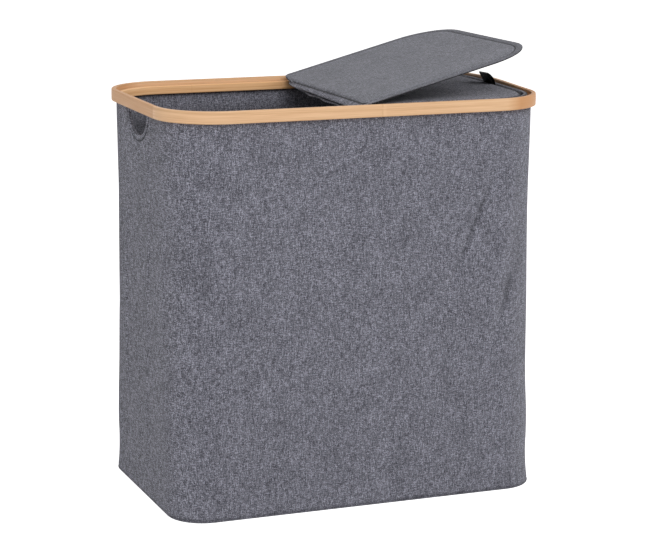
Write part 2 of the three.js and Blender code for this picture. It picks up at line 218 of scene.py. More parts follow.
@dataclass
class Surface:
    """Vertices, faces and each face corner's place on the flat material.

    Attributes:
        vertices: One row of X, Y and Z a vertex.
        faces: The vertices of each face, in order.
        flat: One row a face corner: how far along and how far across the material it lies.
        shade: One value a vertex: how much painted shade the cloth gets there, in seams, grooves, creases and
            gaps.
    """

    vertices: np.ndarray
    faces: list[tuple[int, ...]]
    flat: np.ndarray
    shade: np.ndarray | None = None

    def shades(self) -> np.ndarray:
        """The shade of each vertex, 0 where none was given."""
        return np.zeros(len(self.vertices)) if self.shade is None else self.shade

    def joined(self, other: "Surface") -> "Surface":
        """This surface and another as one.

        Args:
            other: The surface to add.

        Returns:
            A new surface.
        """
        shift = len(self.vertices)
        moved = [tuple(index + shift for index in face) for face in other.faces]
        return Surface(
            np.vstack([self.vertices, other.vertices]),
            self.faces + moved,
            np.vstack([self.flat, other.flat]),
            np.concatenate([self.shades(), other.shades()]),
        )

    def turned(self, matrix: Matrix) -> "Surface":
        """This surface carried by a matrix."""
        turn = np.array(matrix)
        return Surface(self.vertices @ turn[:3, :3].T + turn[:3, 3], self.faces, self.flat, self.shade)

    def flipped(self) -> "Surface":
        """This surface with its faces looking the other way."""
        counts = [len(face) for face in self.faces]
        parts = np.split(self.flat, np.cumsum(counts)[:-1])
        flat = np.vstack([part[::-1] for part in parts])
        return Surface(self.vertices, [tuple(reversed(face)) for face in self.faces], flat, self.shade)

    def piece(self, name: str) -> bpy.types.Object:
        """Makes a smooth mesh object of the surface and joins the vertices that coincide.

        Args:
            name: The piece's name.

        Returns:
            The object, linked to the scene.
        """
        mesh = bpy.data.meshes.new(name)
        mesh.from_pydata(self.vertices.tolist(), [], self.faces)
        layer = mesh.uv_layers.new(name="UVMap")
        layer.data.foreach_set("uv", self.flat.astype(np.float32).ravel())
        # Painted shade for the cloth's material: seams, grooves, creases and gaps.
        seam = mesh.attributes.new("painted_shade", "FLOAT", "POINT")
        seam.data.foreach_set("value", self.shades().astype(np.float32))
        shape = bmesh.new()
        shape.from_mesh(mesh)
        bmesh.ops.remove_doubles(shape, verts=shape.verts, dist=0.005 * MM)
        for face in shape.faces:
            face.smooth = True
        shape.to_mesh(mesh)
        shape.free()
        made = bpy.data.objects.new(name, mesh)
        bpy.context.scene.collection.objects.link(made)
        return made


def grid(points: np.ndarray, flat: np.ndarray, skip: Callable[[int, int], bool] | None = None) -> Surface:
    """A surface over a grid of points.

    Args:
        points: Rows by columns by X, Y and Z.
        flat: The points' places on the flat material. One more column than points closes the columns into
            a ring, and one more row closes the rows.
        skip: Says whether the face at a row and column is left out.

    Returns:
        The surface.
    """
    rows, columns = points.shape[:2]
    row_faces = rows if flat.shape[0] > rows else rows - 1
    column_faces = columns if flat.shape[1] > columns else columns - 1
    faces, corners = [], []
    for i in range(row_faces):
        for j in range(column_faces):
            if skip is not None and skip(i, j):
                continue
            places = ((i, j), (i, j + 1), (i + 1, j + 1), (i + 1, j))
            faces.append(tuple((a % rows) * columns + b % columns for a, b in places))
            corners.extend(flat[a, b] for a, b in places)
    return Surface(points.reshape(-1, 3), faces, np.array(corners))


def fill(
    outer: np.ndarray, lines: Sequence[np.ndarray], seeds: np.ndarray, keep: Callable[[np.ndarray], bool]
) -> tuple[np.ndarray, list[tuple[int, ...]]]:
    """Fills a flat area with triangles that follow given lines.

    Args:
        outer: The loop round the area, counterclockwise.
        lines: Open lines that the triangles' edges follow.
        seeds: Single points to use inside.
        keep: Says from its centre whether a triangle belongs to the area.

    Returns:
        The points and the triangles.
    """
    chains = [np.vstack([outer, outer[:1]]), *lines]
    points: list[Vector] = []
    edges: list[tuple[int, int]] = []
    for chain in chains:
        start = len(points)
        points.extend(Vector(p) for p in chain)
        edges.extend((start + k, start + k + 1) for k in range(len(chain) - 1))
    points.extend(Vector(p) for p in seeds)
    found = delaunay_2d_cdt(points, edges, [], 0, 0.001 * MM)
    flat = np.array([tuple(p) for p in found[0]])
    triangles = [tuple(face) for face in found[2] if keep(flat[list(face)].mean(axis=0))]
    return flat, triangles


def thicken(piece: bpy.types.Object, thickness: float, offset: float = -1.0) -> bpy.types.Object:
    """Gives a sheet its thickness.

    Args:
        piece: The sheet.
        thickness: How thick it gets.
        offset: -1 grows it away from its normals, 0 on both sides, 1 along them.

    Returns:
        The same piece.
    """
    solid = piece.modifiers.new("thickness", "SOLIDIFY")
    solid.thickness = thickness
    solid.offset = offset
    solid.use_quality_normals = True
    return piece


def settle(
    piece: bpy.types.Object,
    body: Body,
    finish: bpy.types.Material,
    stands_for: Iterable[str] = (),
) -> bpy.types.Object:
    """Dresses a piece, puts it on its body and says which nodes it stands for.

    Args:
        piece: The piece.
        body: The body that it moves with.
        finish: Its material.
        stands_for: The frame's nodes that it replaces.

    Returns:
        The same piece.
    """
    piece.data.materials.clear()
    piece.data.materials.append(finish)
    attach(piece, body.value)
    names = list(stands_for)
    if names:
        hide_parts(*names)
    log.info("%s rides on %s, stands for %s", piece.name, body.value, ", ".join(names) or "nothing")
    return piece


# Finishes


def paint(red: float, green: float, blue: float) -> tuple[float, float, float, float]:
    """A colour for a shader from its display values, 0 to 255."""
    shares = [value / 255 for value in (red, green, blue)]
    linear = [s / 12.92 if s <= 0.04045 else ((s + 0.055) / 1.055) ** 2.4 for s in shares]
    return (*linear, 1.0)


class Graph:
    """Adds nodes to one shader tree and links them."""

    def __init__(self, tree: bpy.types.NodeTree) -> None:
        """Starts on a tree."""
        self.tree = tree

    def add(self, kind: str, **settings: object) -> bpy.types.Node:
        """Adds a node.

        Args:
            kind: The node's type.
            settings: Its properties by name.

        Returns:
            The node.
        """
        node = self.tree.nodes.new(kind)
        for name, value in settings.items():
            setattr(node, name, value)
        return node

    def feed(self, socket: bpy.types.NodeSocket, value: object) -> None:
        """Links a socket to another one, or sets its value.

        Args:
            socket: The input.
            value: An output to link, or a plain value.
        """
        if isinstance(value, bpy.types.NodeSocket):
            self.tree.links.new(value, socket)
        else:
            socket.default_value = value

    def math(self, operation: str, *values: object, clamp: bool = False) -> bpy.types.NodeSocket:
        """Adds a Math node over sockets or numbers and returns its result."""
        node = self.add("ShaderNodeMath", operation=operation, use_clamp=clamp)
        for socket, value in zip(node.inputs, values):
            self.feed(socket, value)
        return node.outputs[0]

    def stretch(self, vector: object, x: float, y: float, z: float = 1.0) -> bpy.types.NodeSocket:
        """Divides a place by a size along each axis, so that one unit is one such size."""
        node = self.add("ShaderNodeVectorMath", operation="DIVIDE")
        self.feed(node.inputs[0], vector)
        node.inputs[1].default_value = (x, y, z)
        return node.outputs[0]

    def noise(
        self, vector: object, detail: float = 0.0, rough: float = 0.5, shift: float = 0.0
    ) -> bpy.types.NodeSocket:
        """Adds soft noise whose lumps are one unit wide.

        Args:
            vector: Where to read it.
            detail: How many finer layers it has.
            rough: How strong the finer layers are.
            shift: Picks another part of the noise.

        Returns:
            A value of about 0.5 on average.
        """
        node = self.add("ShaderNodeTexNoise", noise_dimensions="4D")
        self.feed(node.inputs["Vector"], vector)
        node.inputs["W"].default_value = shift
        node.inputs["Scale"].default_value = 1.0
        node.inputs["Detail"].default_value = detail
        node.inputs["Roughness"].default_value = rough
        return node.outputs[0]

    def span(
        self, value: object, low: float, high: float, start: float = 0.0, end: float = 1.0
    ) -> bpy.types.NodeSocket:
        """Maps low to start and high to end, and holds the value between them."""
        node = self.add("ShaderNodeMapRange")
        for name, given in zip(
            ("Value", "From Min", "From Max", "To Min", "To Max"), (value, low, high, start, end)
        ):
            self.feed(node.inputs[name], given)
        return node.outputs[0]

    def blend(self, share: object, first: object, second: object) -> bpy.types.NodeSocket:
        """Mixes two colours by a share of the second."""
        node = self.add("ShaderNodeMix", data_type="RGBA")
        self.feed(node.inputs[0], share)
        self.feed(node.inputs[6], first)
        self.feed(node.inputs[7], second)
        return node.outputs[2]

    def ramp(self, value: object, stops: Sequence[tuple[float, tuple]]) -> bpy.types.NodeSocket:
        """Turns a value into a colour.

        Args:
            value: The value.
            stops: Places from 0 to 1 with their colours, in order.

        Returns:
            The colour.
        """
        node = self.add("ShaderNodeValToRGB")
        elements = node.color_ramp.elements
        while len(elements) < len(stops):
            elements.new(1.0)
        for element, (place, colour) in zip(elements, stops):
            element.position = place
            element.color = colour
        self.feed(node.inputs[0], value)
        return node.outputs[0]

    def effect(self, tree: bpy.types.NodeTree, **values: object) -> bpy.types.Node:
        """Places an effect's node group with its own values.

        Args:
            tree: The group.
            values: Its inputs by name.

        Returns:
            The group's node.
        """
        node = self.add("ShaderNodeGroup", node_tree=tree)
        for name, value in values.items():
            self.feed(node.inputs[name], value)
        return node

    def bump(self, height: object, distance: float, strength: float = 1.0) -> bpy.types.NodeSocket:
        """Turns a height of 0 to 1 into a normal, with the depth of the relief in metres."""
        node = self.add("ShaderNodeBump")
        self.feed(node.inputs["Height"], height)
        node.inputs["Distance"].default_value = distance
        node.inputs["Strength"].default_value = strength
        return node.outputs[0]


class Effect:
    """A shader node group with named sockets that more than one finish uses."""

    def __init__(self, name: str, inputs: dict[str, float | tuple], outputs: Sequence[str]) -> None:
        """Makes the group and its sockets.

        Args:
            name: The group's name.
            inputs: Each input's name with its usual value; three numbers make it a place.
            outputs: The names of its values.
        """
        self.tree = bpy.data.node_groups.new(name, "ShaderNodeTree")
        for label, value in inputs.items():
            kind = "NodeSocketVector" if isinstance(value, tuple) else "NodeSocketFloat"
            socket = self.tree.interface.new_socket(label, in_out="INPUT", socket_type=kind)
            socket.default_value = value
        for label in outputs:
            self.tree.interface.new_socket(label, in_out="OUTPUT", socket_type="NodeSocketFloat")
        self.graph = Graph(self.tree)
        self.given = self.graph.add("NodeGroupInput").outputs
        self.result = self.graph.add("NodeGroupOutput").inputs

    def scaled(self, across: object, along: object) -> bpy.types.NodeSocket:
        """The place in units of two sizes, which may be sockets."""
        graph = self.graph
        sizes = graph.add("ShaderNodeCombineXYZ")
        graph.feed(sizes.inputs[0], across)
        graph.feed(sizes.inputs[1], along)
        sizes.inputs[2].default_value = 1.0
        node = graph.add("ShaderNodeVectorMath", operation="DIVIDE")
        graph.feed(node.inputs[0], self.given["Place"])
        graph.feed(node.inputs[1], sizes.outputs[0])
        return node.outputs[0]


def melange_effect() -> bpy.types.NodeTree:
    """Mixed yarn: threads both ways whose tone changes along them, flecks, and broad patches.

    Returns:
        The node group, whose Tone is about 0.5 on average.
    """
    effect = Effect(
        "melange_yarn",
        {"Place": (0.0, 0.0, 0.0), "Thread": 1.02 * MM, "Slub": 8 * MM, "Patch": 34 * MM,
         "Slub Strength": 1.0, "Fleck Strength": 1.0, "Patch Strength": 0.4},
        ["Tone"],
    )
    graph, given = effect.graph, effect.given
    upright = graph.noise(effect.scaled(given["Thread"], given["Slub"]), 1.0, shift=1.3)
    level = graph.noise(effect.scaled(given["Slub"], given["Thread"]), 1.0, shift=5.1)
    fleck = graph.noise(effect.scaled(given["Thread"], given["Thread"]), 1.0, 0.6, shift=9.7)
    patch = graph.noise(effect.scaled(given["Patch"], given["Patch"]), 2.0, shift=3.9)
    tone = 0.5
    layers = (
        (upright, "Slub Strength"),
        (level, "Slub Strength"),
        (fleck, "Fleck Strength"),
        (patch, "Patch Strength"),
    )
    for layer, strength in layers:
        swing = graph.math("SUBTRACT", layer, 0.5)
        tone = graph.math("MULTIPLY_ADD", swing, given[strength], tone)
    graph.feed(effect.result["Tone"], tone)
    return effect.tree


def weave_effect() -> bpy.types.NodeTree:
    """A plain weave of round threads.

    Returns:
        The node group, whose Height is 1 on the threads that lie over and 0 in the holes between threads.
    """
    effect = Effect("plain_weave", {"Place": (0.0, 0.0, 0.0), "Pitch": 0.8 * MM}, ["Height"])
    graph = effect.graph
    parts = graph.add("ShaderNodeSeparateXYZ")
    graph.feed(parts.inputs[0], effect.scaled(effect.given["Pitch"], effect.given["Pitch"]))
    waves = [graph.math("SINE", graph.math("MULTIPLY", part, HALF_TURN)) for part in parts.outputs[:2]]
    over = graph.span(graph.math("MULTIPLY", *waves), -1.0, 1.0)
    upright, level = (graph.math("ABSOLUTE", wave) for wave in waves)
    under = graph.math("SUBTRACT", 1.0, over)
    height = graph.math("MULTIPLY_ADD", upright, over, graph.math("MULTIPLY", level, under))
    graph.feed(effect.result["Height"], height)
    return effect.tree


def fibre_effect() -> bpy.types.NodeTree:
    """Long fibres that run along the material, as in bamboo or pressed board.

    Returns:
        The node group: Fibre is fine and close, Streak is broad and slow.
    """
    effect = Effect(
        "long_fibres",
        {"Place": (0.0, 0.0, 0.0), "Width": 0.6 * MM, "Length": 60 * MM,
         "Streak Width": 3.2 * MM, "Streak Length": 260 * MM},
        ["Fibre", "Streak"],
    )
    graph, given = effect.graph, effect.given
    fibre = graph.noise(effect.scaled(given["Length"], given["Width"]), 2.0, 0.6, shift=2.2)
    streak = graph.noise(effect.scaled(given["Streak Length"], given["Streak Width"]), 1.0, shift=6.6)
    graph.feed(effect.result["Fibre"], fibre)
    graph.feed(effect.result["Streak"], streak)
    return effect.tree


@dataclass
class Effects:
    """The node groups that the finishes share, each built once."""

    melange: bpy.types.NodeTree = field(default_factory=melange_effect)
    weave: bpy.types.NodeTree = field(default_factory=weave_effect)
    fibre: bpy.types.NodeTree = field(default_factory=fibre_effect)


@dataclass(frozen=True)
class Finish:
    """What every finish has: its name, and the shader's plain values.

    Attributes:
        name: The material's name.
        rough: How matt the surface is.
        shine: The shader's specular level.
    """

    name: str
    rough: float = 0.6
    shine: float = 0.5

    def start(self) -> tuple[bpy.types.Material, Graph, bpy.types.Node, bpy.types.NodeSocket]:
        """Makes an empty material.

        Returns:
            The material, its graph, its shader, and the place on the flat material.
        """
        material = bpy.data.materials.new(self.name)
        material.use_nodes = True
        graph = Graph(material.node_tree)
        shader = material.node_tree.nodes["Principled BSDF"]
        shader.inputs["Roughness"].default_value = self.rough
        shader.inputs["Specular IOR Level"].default_value = self.shine
        place = graph.add("ShaderNodeUVMap", uv_map="UVMap").outputs[0]
        return material, graph, shader, place


@dataclass(frozen=True)
class HeatherCloth(Finish):
    """Melange plain weave.

    Attributes:
        dark: The colour of its darkest yarn.
        middle: Its usual colour.
        light: The colour of its lightest yarn.
        seam: The colour of its painted shade, in seams, grooves, creases and gaps, and far down inside the
            bag.
        slub: How strongly the threads change along their length.
        fleck: How strongly single flecks stand out.
        patch: How strongly broad patches differ.
        side: How much stronger the yarn's changes are where the cloth faces sideways.
        deep: How strongly painted shade darkens it far down inside the bag.
        pitch: The distance between threads.
        relief: The depth of the weave.
    """

    rough: float = 0.92
    shine: float = 0.18
    dark: tuple = paint(48, 48, 56)
    middle: tuple = paint(105, 105, 115)
    light: tuple = paint(179, 179, 193)
    seam: tuple = paint(22, 22, 26)
    slub: float = 1.0
    fleck: float = 2.15
    patch: float = 0.24
    side: float = 1.4
    deep: float = 0.0
    pitch: float = 0.8 * MM
    relief: float = 0.22 * MM

    def build(self, effects: Effects) -> bpy.types.Material:
        """Makes the material.

        Args:
            effects: The shared node groups.

        Returns:
            The material.
        """
        material, graph, shader, place = self.start()
        facing = graph.add("ShaderNodeSeparateXYZ")
        graph.feed(facing.inputs[0], graph.add("ShaderNodeTexCoord").outputs["Normal"])
        sideways = graph.math("ABSOLUTE", facing.outputs[0])
        slub, fleck = (
            graph.span(sideways, 0.5, 0.95, value, value * self.side) for value in (self.slub, self.fleck)
        )
        yarn = graph.effect(
            effects.melange,
            Place=place,
            **{"Slub Strength": slub, "Fleck Strength": fleck, "Patch Strength": self.patch},
        )
        tone = yarn.outputs["Tone"]
        colour = graph.ramp(tone, [(0.0, self.dark), (0.5, self.middle), (1.0, self.light)])
        weave = graph.effect(effects.weave, Place=place, Pitch=self.pitch).outputs["Height"]
        # Painted shade in the holes between the threads.
        gap = graph.span(weave, 0.0, 0.45, 0.35, 0.0)
        # Painted shade from the mesh: in seams, grooves, creases and gaps.
        seam = graph.add("ShaderNodeAttribute", attribute_name="painted_shade").outputs["Fac"]
        woven = graph.blend(gap, colour, self.dark)
        # Painted shade, darker far down inside the bag.
        if self.deep:
            spot = graph.add("ShaderNodeSeparateXYZ")
            graph.feed(spot.inputs[0], graph.add("ShaderNodeTexCoord").outputs["Object"])
            woven = graph.blend(
                graph.span(spot.outputs[2], 494 * MM, 524 * MM, self.deep, 0.0), woven, self.seam
            )
        graph.feed(shader.inputs["Base Color"], graph.blend(seam, woven, self.seam))
        height = graph.math("MULTIPLY_ADD", tone, 0.6, weave)
        graph.feed(shader.inputs["Normal"], graph.bump(height, self.relief))
        shader.inputs["Sheen Weight"].default_value = 0.12
        shader.inputs["Sheen Roughness"].default_value = 0.6
        return material


@dataclass(frozen=True)
class BambooStrip(Finish):
    """Bent laminated bamboo under clear lacquer.

    Attributes:
        dark: The colour of its darkest fibres.
        middle: Its usual colour.
        light: The colour of its palest fibres.
        pale: The colour of the strip's left piece: partly its own colour up to the glued joint, partly
            painted shade on the rim's left side.
        knots: How far along the strip its growth rings lie.
        joints: How far along the strip its ends are glued.
        shaded_piece_part: From where to where along the strip the left piece with its painted shade lies.
        warm: The colour of its browner stretch.
        warm_from: That stretch begins here along the strip.
    """

    rough: float = 0.5
    shine: float = 0.28
    dark: tuple = paint(202, 155, 112)
    middle: tuple = paint(225, 183, 142)
    light: tuple = paint(242, 203, 163)
    pale: tuple = paint(199, 145, 95)
    knots: tuple[float, ...] = ()
    joints: tuple[float, ...] = ()
    shaded_piece_part: tuple[float, float] = (-9.0, -9.0)
    warm: tuple = paint(196, 140, 90)
    warm_from: float = 9.0

    def line_at(self, graph: Graph, along: object, place: float, width: float) -> bpy.types.NodeSocket:
        """A soft mark across the strip."""
        away = graph.math("ABSOLUTE", graph.math("SUBTRACT", along, place))
        return graph.span(away, 0.0, width, 1.0, 0.0)

    def build(self, effects: Effects) -> bpy.types.Material:
        """Makes the material.

        Args:
            effects: The shared node groups.

        Returns:
            The material.
        """
        material, graph, shader, place = self.start()
        grain = graph.effect(effects.fibre, Place=place)
        fibre, streak = grain.outputs["Fibre"], grain.outputs["Streak"]
        mixed = graph.math("MULTIPLY_ADD", fibre, 0.55, graph.math("MULTIPLY", streak, 0.45))
        colour = graph.ramp(mixed, [(0.30, self.dark), (0.52, self.middle), (0.75, self.light)])
        parts = graph.add("ShaderNodeSeparateXYZ")
        graph.feed(parts.inputs[0], place)
        wander = graph.noise(graph.stretch(place, 6 * MM, 4 * MM), 1.0, shift=4.4)
        along = graph.math("MULTIPLY_ADD", graph.math("SUBTRACT", wander, 0.5), 3 * MM, parts.outputs[0])
        height = fibre
        for knot in self.knots:
            ring = self.line_at(graph, along, knot, 1.3 * MM)
            halo = self.line_at(graph, along, knot + 3 * MM, 4 * MM)
            patchy = graph.span(
                graph.noise(graph.stretch(place, 30 * MM, 3.5 * MM), 0.0, shift=knot), 0.4, 0.6
            )
            colour = graph.blend(graph.math("MULTIPLY", halo, 0.25), colour, self.light)
            colour = graph.blend(
                graph.math("MULTIPLY", graph.math("MULTIPLY", ring, patchy), 0.55), colour, self.dark
            )
            height = graph.math("ADD", height, graph.math("MULTIPLY", ring, 0.6))
        for joint in self.joints:
            seam = self.line_at(graph, parts.outputs[0], joint, 0.5 * MM)
            colour = graph.blend(graph.math("MULTIPLY", seam, 0.6), colour, self.dark)
            height = graph.math("SUBTRACT", height, seam)
        # The left piece, which ends at the glued joint: its own colour, with painted shade on the rim's left
        # side.
        begins, ends = self.shaded_piece_part
        begun = graph.span(along, begins - 30 * MM, begins, 0.0, 1.0)
        pale = graph.span(along, ends - 2 * MM, ends + 2 * MM, 0.65, 0.0)
        colour = graph.blend(graph.math("MULTIPLY", begun, pale), colour, self.pale)
        past = graph.span(along, self.warm_from, self.warm_from + 25 * MM, 0.0, 0.85)
        before = graph.span(along, self.warm_from + 130 * MM, self.warm_from + 190 * MM, 1.0, 0.0)
        colour = graph.blend(graph.math("MULTIPLY", past, before), colour, self.warm)
        graph.feed(shader.inputs["Base Color"], colour)
        graph.feed(
            shader.inputs["Roughness"], graph.span(fibre, 0.3, 0.7, self.rough + 0.08, self.rough - 0.06)
        )
        graph.feed(shader.inputs["Normal"], graph.bump(height, 0.05 * MM))
        shader.inputs["Coat Weight"].default_value = 0.08
        shader.inputs["Coat Roughness"].default_value = 0.3
        return material


@dataclass(frozen=True)
class PressedBoard(Finish):
    """Brown hardboard, whose place is taken from the object because the frame's meshes hold no flat place."""

    rough: float = 0.7
    shine: float = 0.3
    dark: tuple = paint(104, 76, 52)
    light: tuple = paint(150, 116, 82)

    def build(self, effects: Effects) -> bpy.types.Material:
        """Makes the material.

        Args:
            effects: The shared node groups.

        Returns:
            The material.
        """
        material, graph, shader, _ = self.start()
        place = graph.add("ShaderNodeTexCoord").outputs["Object"]
        speckle = graph.noise(graph.stretch(place, 1.6 * MM, 1.6 * MM, 1.6 * MM), 2.0, 0.65)
        grain = graph.effect(effects.fibre, Place=place, Width=1.2 * MM, Length=5 * MM)
        mixed = graph.math("MULTIPLY_ADD", speckle, 0.6, graph.math("MULTIPLY", grain.outputs["Fibre"], 0.4))
        graph.feed(shader.inputs["Base Color"], graph.ramp(mixed, [(0.3, self.dark), (0.7, self.light)]))
        graph.feed(shader.inputs["Normal"], graph.bump(mixed, 0.06 * MM))
        return material


@dataclass(frozen=True)
class BlackCoating(Finish):
    """Powder coat or moulded plastic in black, with a fine grain.

    Attributes:
        colour: Its usual colour.
        worn: The colour where it is rubbed.
        grain: The size of its grain.
        metal: How metallic it is.
    """

    colour: tuple = paint(38, 38, 41)
    worn: tuple = paint(66, 66, 70)
    grain: float = 0.5 * MM
    metal: float = 0.0

    def build(self, effects: Effects) -> bpy.types.Material:
        """Makes the material.

        Args:
            effects: The shared node groups.

        Returns:
            The material.
        """
        material, graph, shader, _ = self.start()
        place = graph.add("ShaderNodeTexCoord").outputs["Object"]
        pebble = graph.noise(graph.stretch(place, self.grain, self.grain, self.grain), 1.0)
        rubbed = graph.effect(effects.fibre, Place=place, Width=4 * MM, Length=9 * MM)
        share = graph.span(rubbed.outputs["Fibre"], 0.55, 0.75, 0.0, 0.5)
        graph.feed(shader.inputs["Base Color"], graph.blend(share, self.colour, self.worn))
        graph.feed(
            shader.inputs["Roughness"], graph.span(pebble, 0.2, 0.8, self.rough - 0.08, self.rough + 0.08)
        )
        graph.feed(shader.inputs["Normal"], graph.bump(pebble, 0.04 * MM))
        shader.inputs["Metallic"].default_value = self.metal
        return material


@dataclass(frozen=True)
class WovenRibbon(Finish):
    """Black ribbon with fine ribs across it and a silky shine."""

    rough: float = 0.3
    shine: float = 0.08

    def build(self, effects: Effects) -> bpy.types.Material:
        """Makes the material.

        Args:
            effects: The shared node groups.

        Returns:
            The material.
        """
        material, graph, shader, place = self.start()
        weave = graph.effect(effects.weave, Place=place, Pitch=0.6 * MM).outputs["Height"]
        # Darker in the holes between the threads: painted shade.
        graph.feed(
            shader.inputs["Base Color"], graph.ramp(weave, [(0.0, paint(1, 1, 2)), (1.0, paint(7, 7, 9))])
        )
        graph.feed(shader.inputs["Normal"], graph.bump(weave, 0.08 * MM))
        return material


@dataclass(frozen=True)
class SewingThread(Finish):
    """Polyester sewing thread."""

    rough: float = 0.6
    shine: float = 0.35
    dark: tuple = paint(20, 20, 24)
    light: tuple = paint(40, 40, 46)

    def build(self, effects: Effects) -> bpy.types.Material:
        """Makes the material.

        Args:
            effects: The shared node groups.

        Returns:
            The material.
        """
        material, graph, shader, place = self.start()
        twist = graph.effect(effects.fibre, Place=place, Width=0.25 * MM, Length=1.2 * MM).outputs["Fibre"]
        graph.feed(shader.inputs["Base Color"], graph.ramp(twist, [(0.35, self.dark), (0.65, self.light)]))
        graph.feed(shader.inputs["Normal"], graph.bump(twist, 0.05 * MM))
        return material


@dataclass
class Wardrobe:
    """Every finish of the hamper, each built once.

    Attributes:
        effects: The node groups that the finishes share.
    """

    effects: Effects = field(default_factory=Effects)

    def __post_init__(self) -> None:
        """Builds the materials."""
        effects = self.effects
        self.bag = HeatherCloth("bag_cloth").build(effects)
        self.hinge = HeatherCloth(
            "hinge_cloth", middle=paint(116, 116, 127), light=paint(184, 184, 197)
        ).build(effects)
        # The bag's inside: a lighter copy of the cloth as painted light near the top, with painted shade far
        # down.
        self.inside = HeatherCloth(
            "bag_cloth_inside", middle=paint(115, 115, 125), side=1.0, deep=0.62
        ).build(effects)
        self.lid = HeatherCloth("lid_cloth", middle=paint(111, 111, 120), relief=0.16 * MM).build(effects)
        self.lining = HeatherCloth(
            "lining_cloth", slub=0.6, fleck=1.3, middle=paint(112, 113, 121), relief=0.16 * MM
        ).build(effects)
        self.outer_strip = BambooStrip(
            "bamboo_outer", knots=(0.017, 0.37, 0.62, -0.56, 0.80), joints=(-0.323,),
            shaded_piece_part=(-0.58, -0.323),
            warm_from=0.2,
        ).build(effects)
        # Lighter than the outer strip: painted light on the rim's inner faces, which the lamps reach less.
        self.inner_strip = BambooStrip(
            "bamboo_inner", knots=(0.12, -0.21, 0.47, -0.52, 0.72), joints=(-0.665,),
            dark=paint(218, 164, 112), middle=paint(242, 191, 140), light=paint(250, 208, 160),
        ).build(effects)
        self.board = PressedBoard("brown_hardboard").build(effects)
        self.steel = BlackCoating("coated_wire", rough=0.45, metal=0.3).build(effects)
        self.plastic = BlackCoating(
            "moulded_plastic", rough=0.5, colour=paint(30, 30, 31), grain=0.9 * MM
        ).build(effects)
        self.ribbon = WovenRibbon("black_ribbon").build(effects)
        self.thread = SewingThread("sewing_thread").build(effects)


# Studio


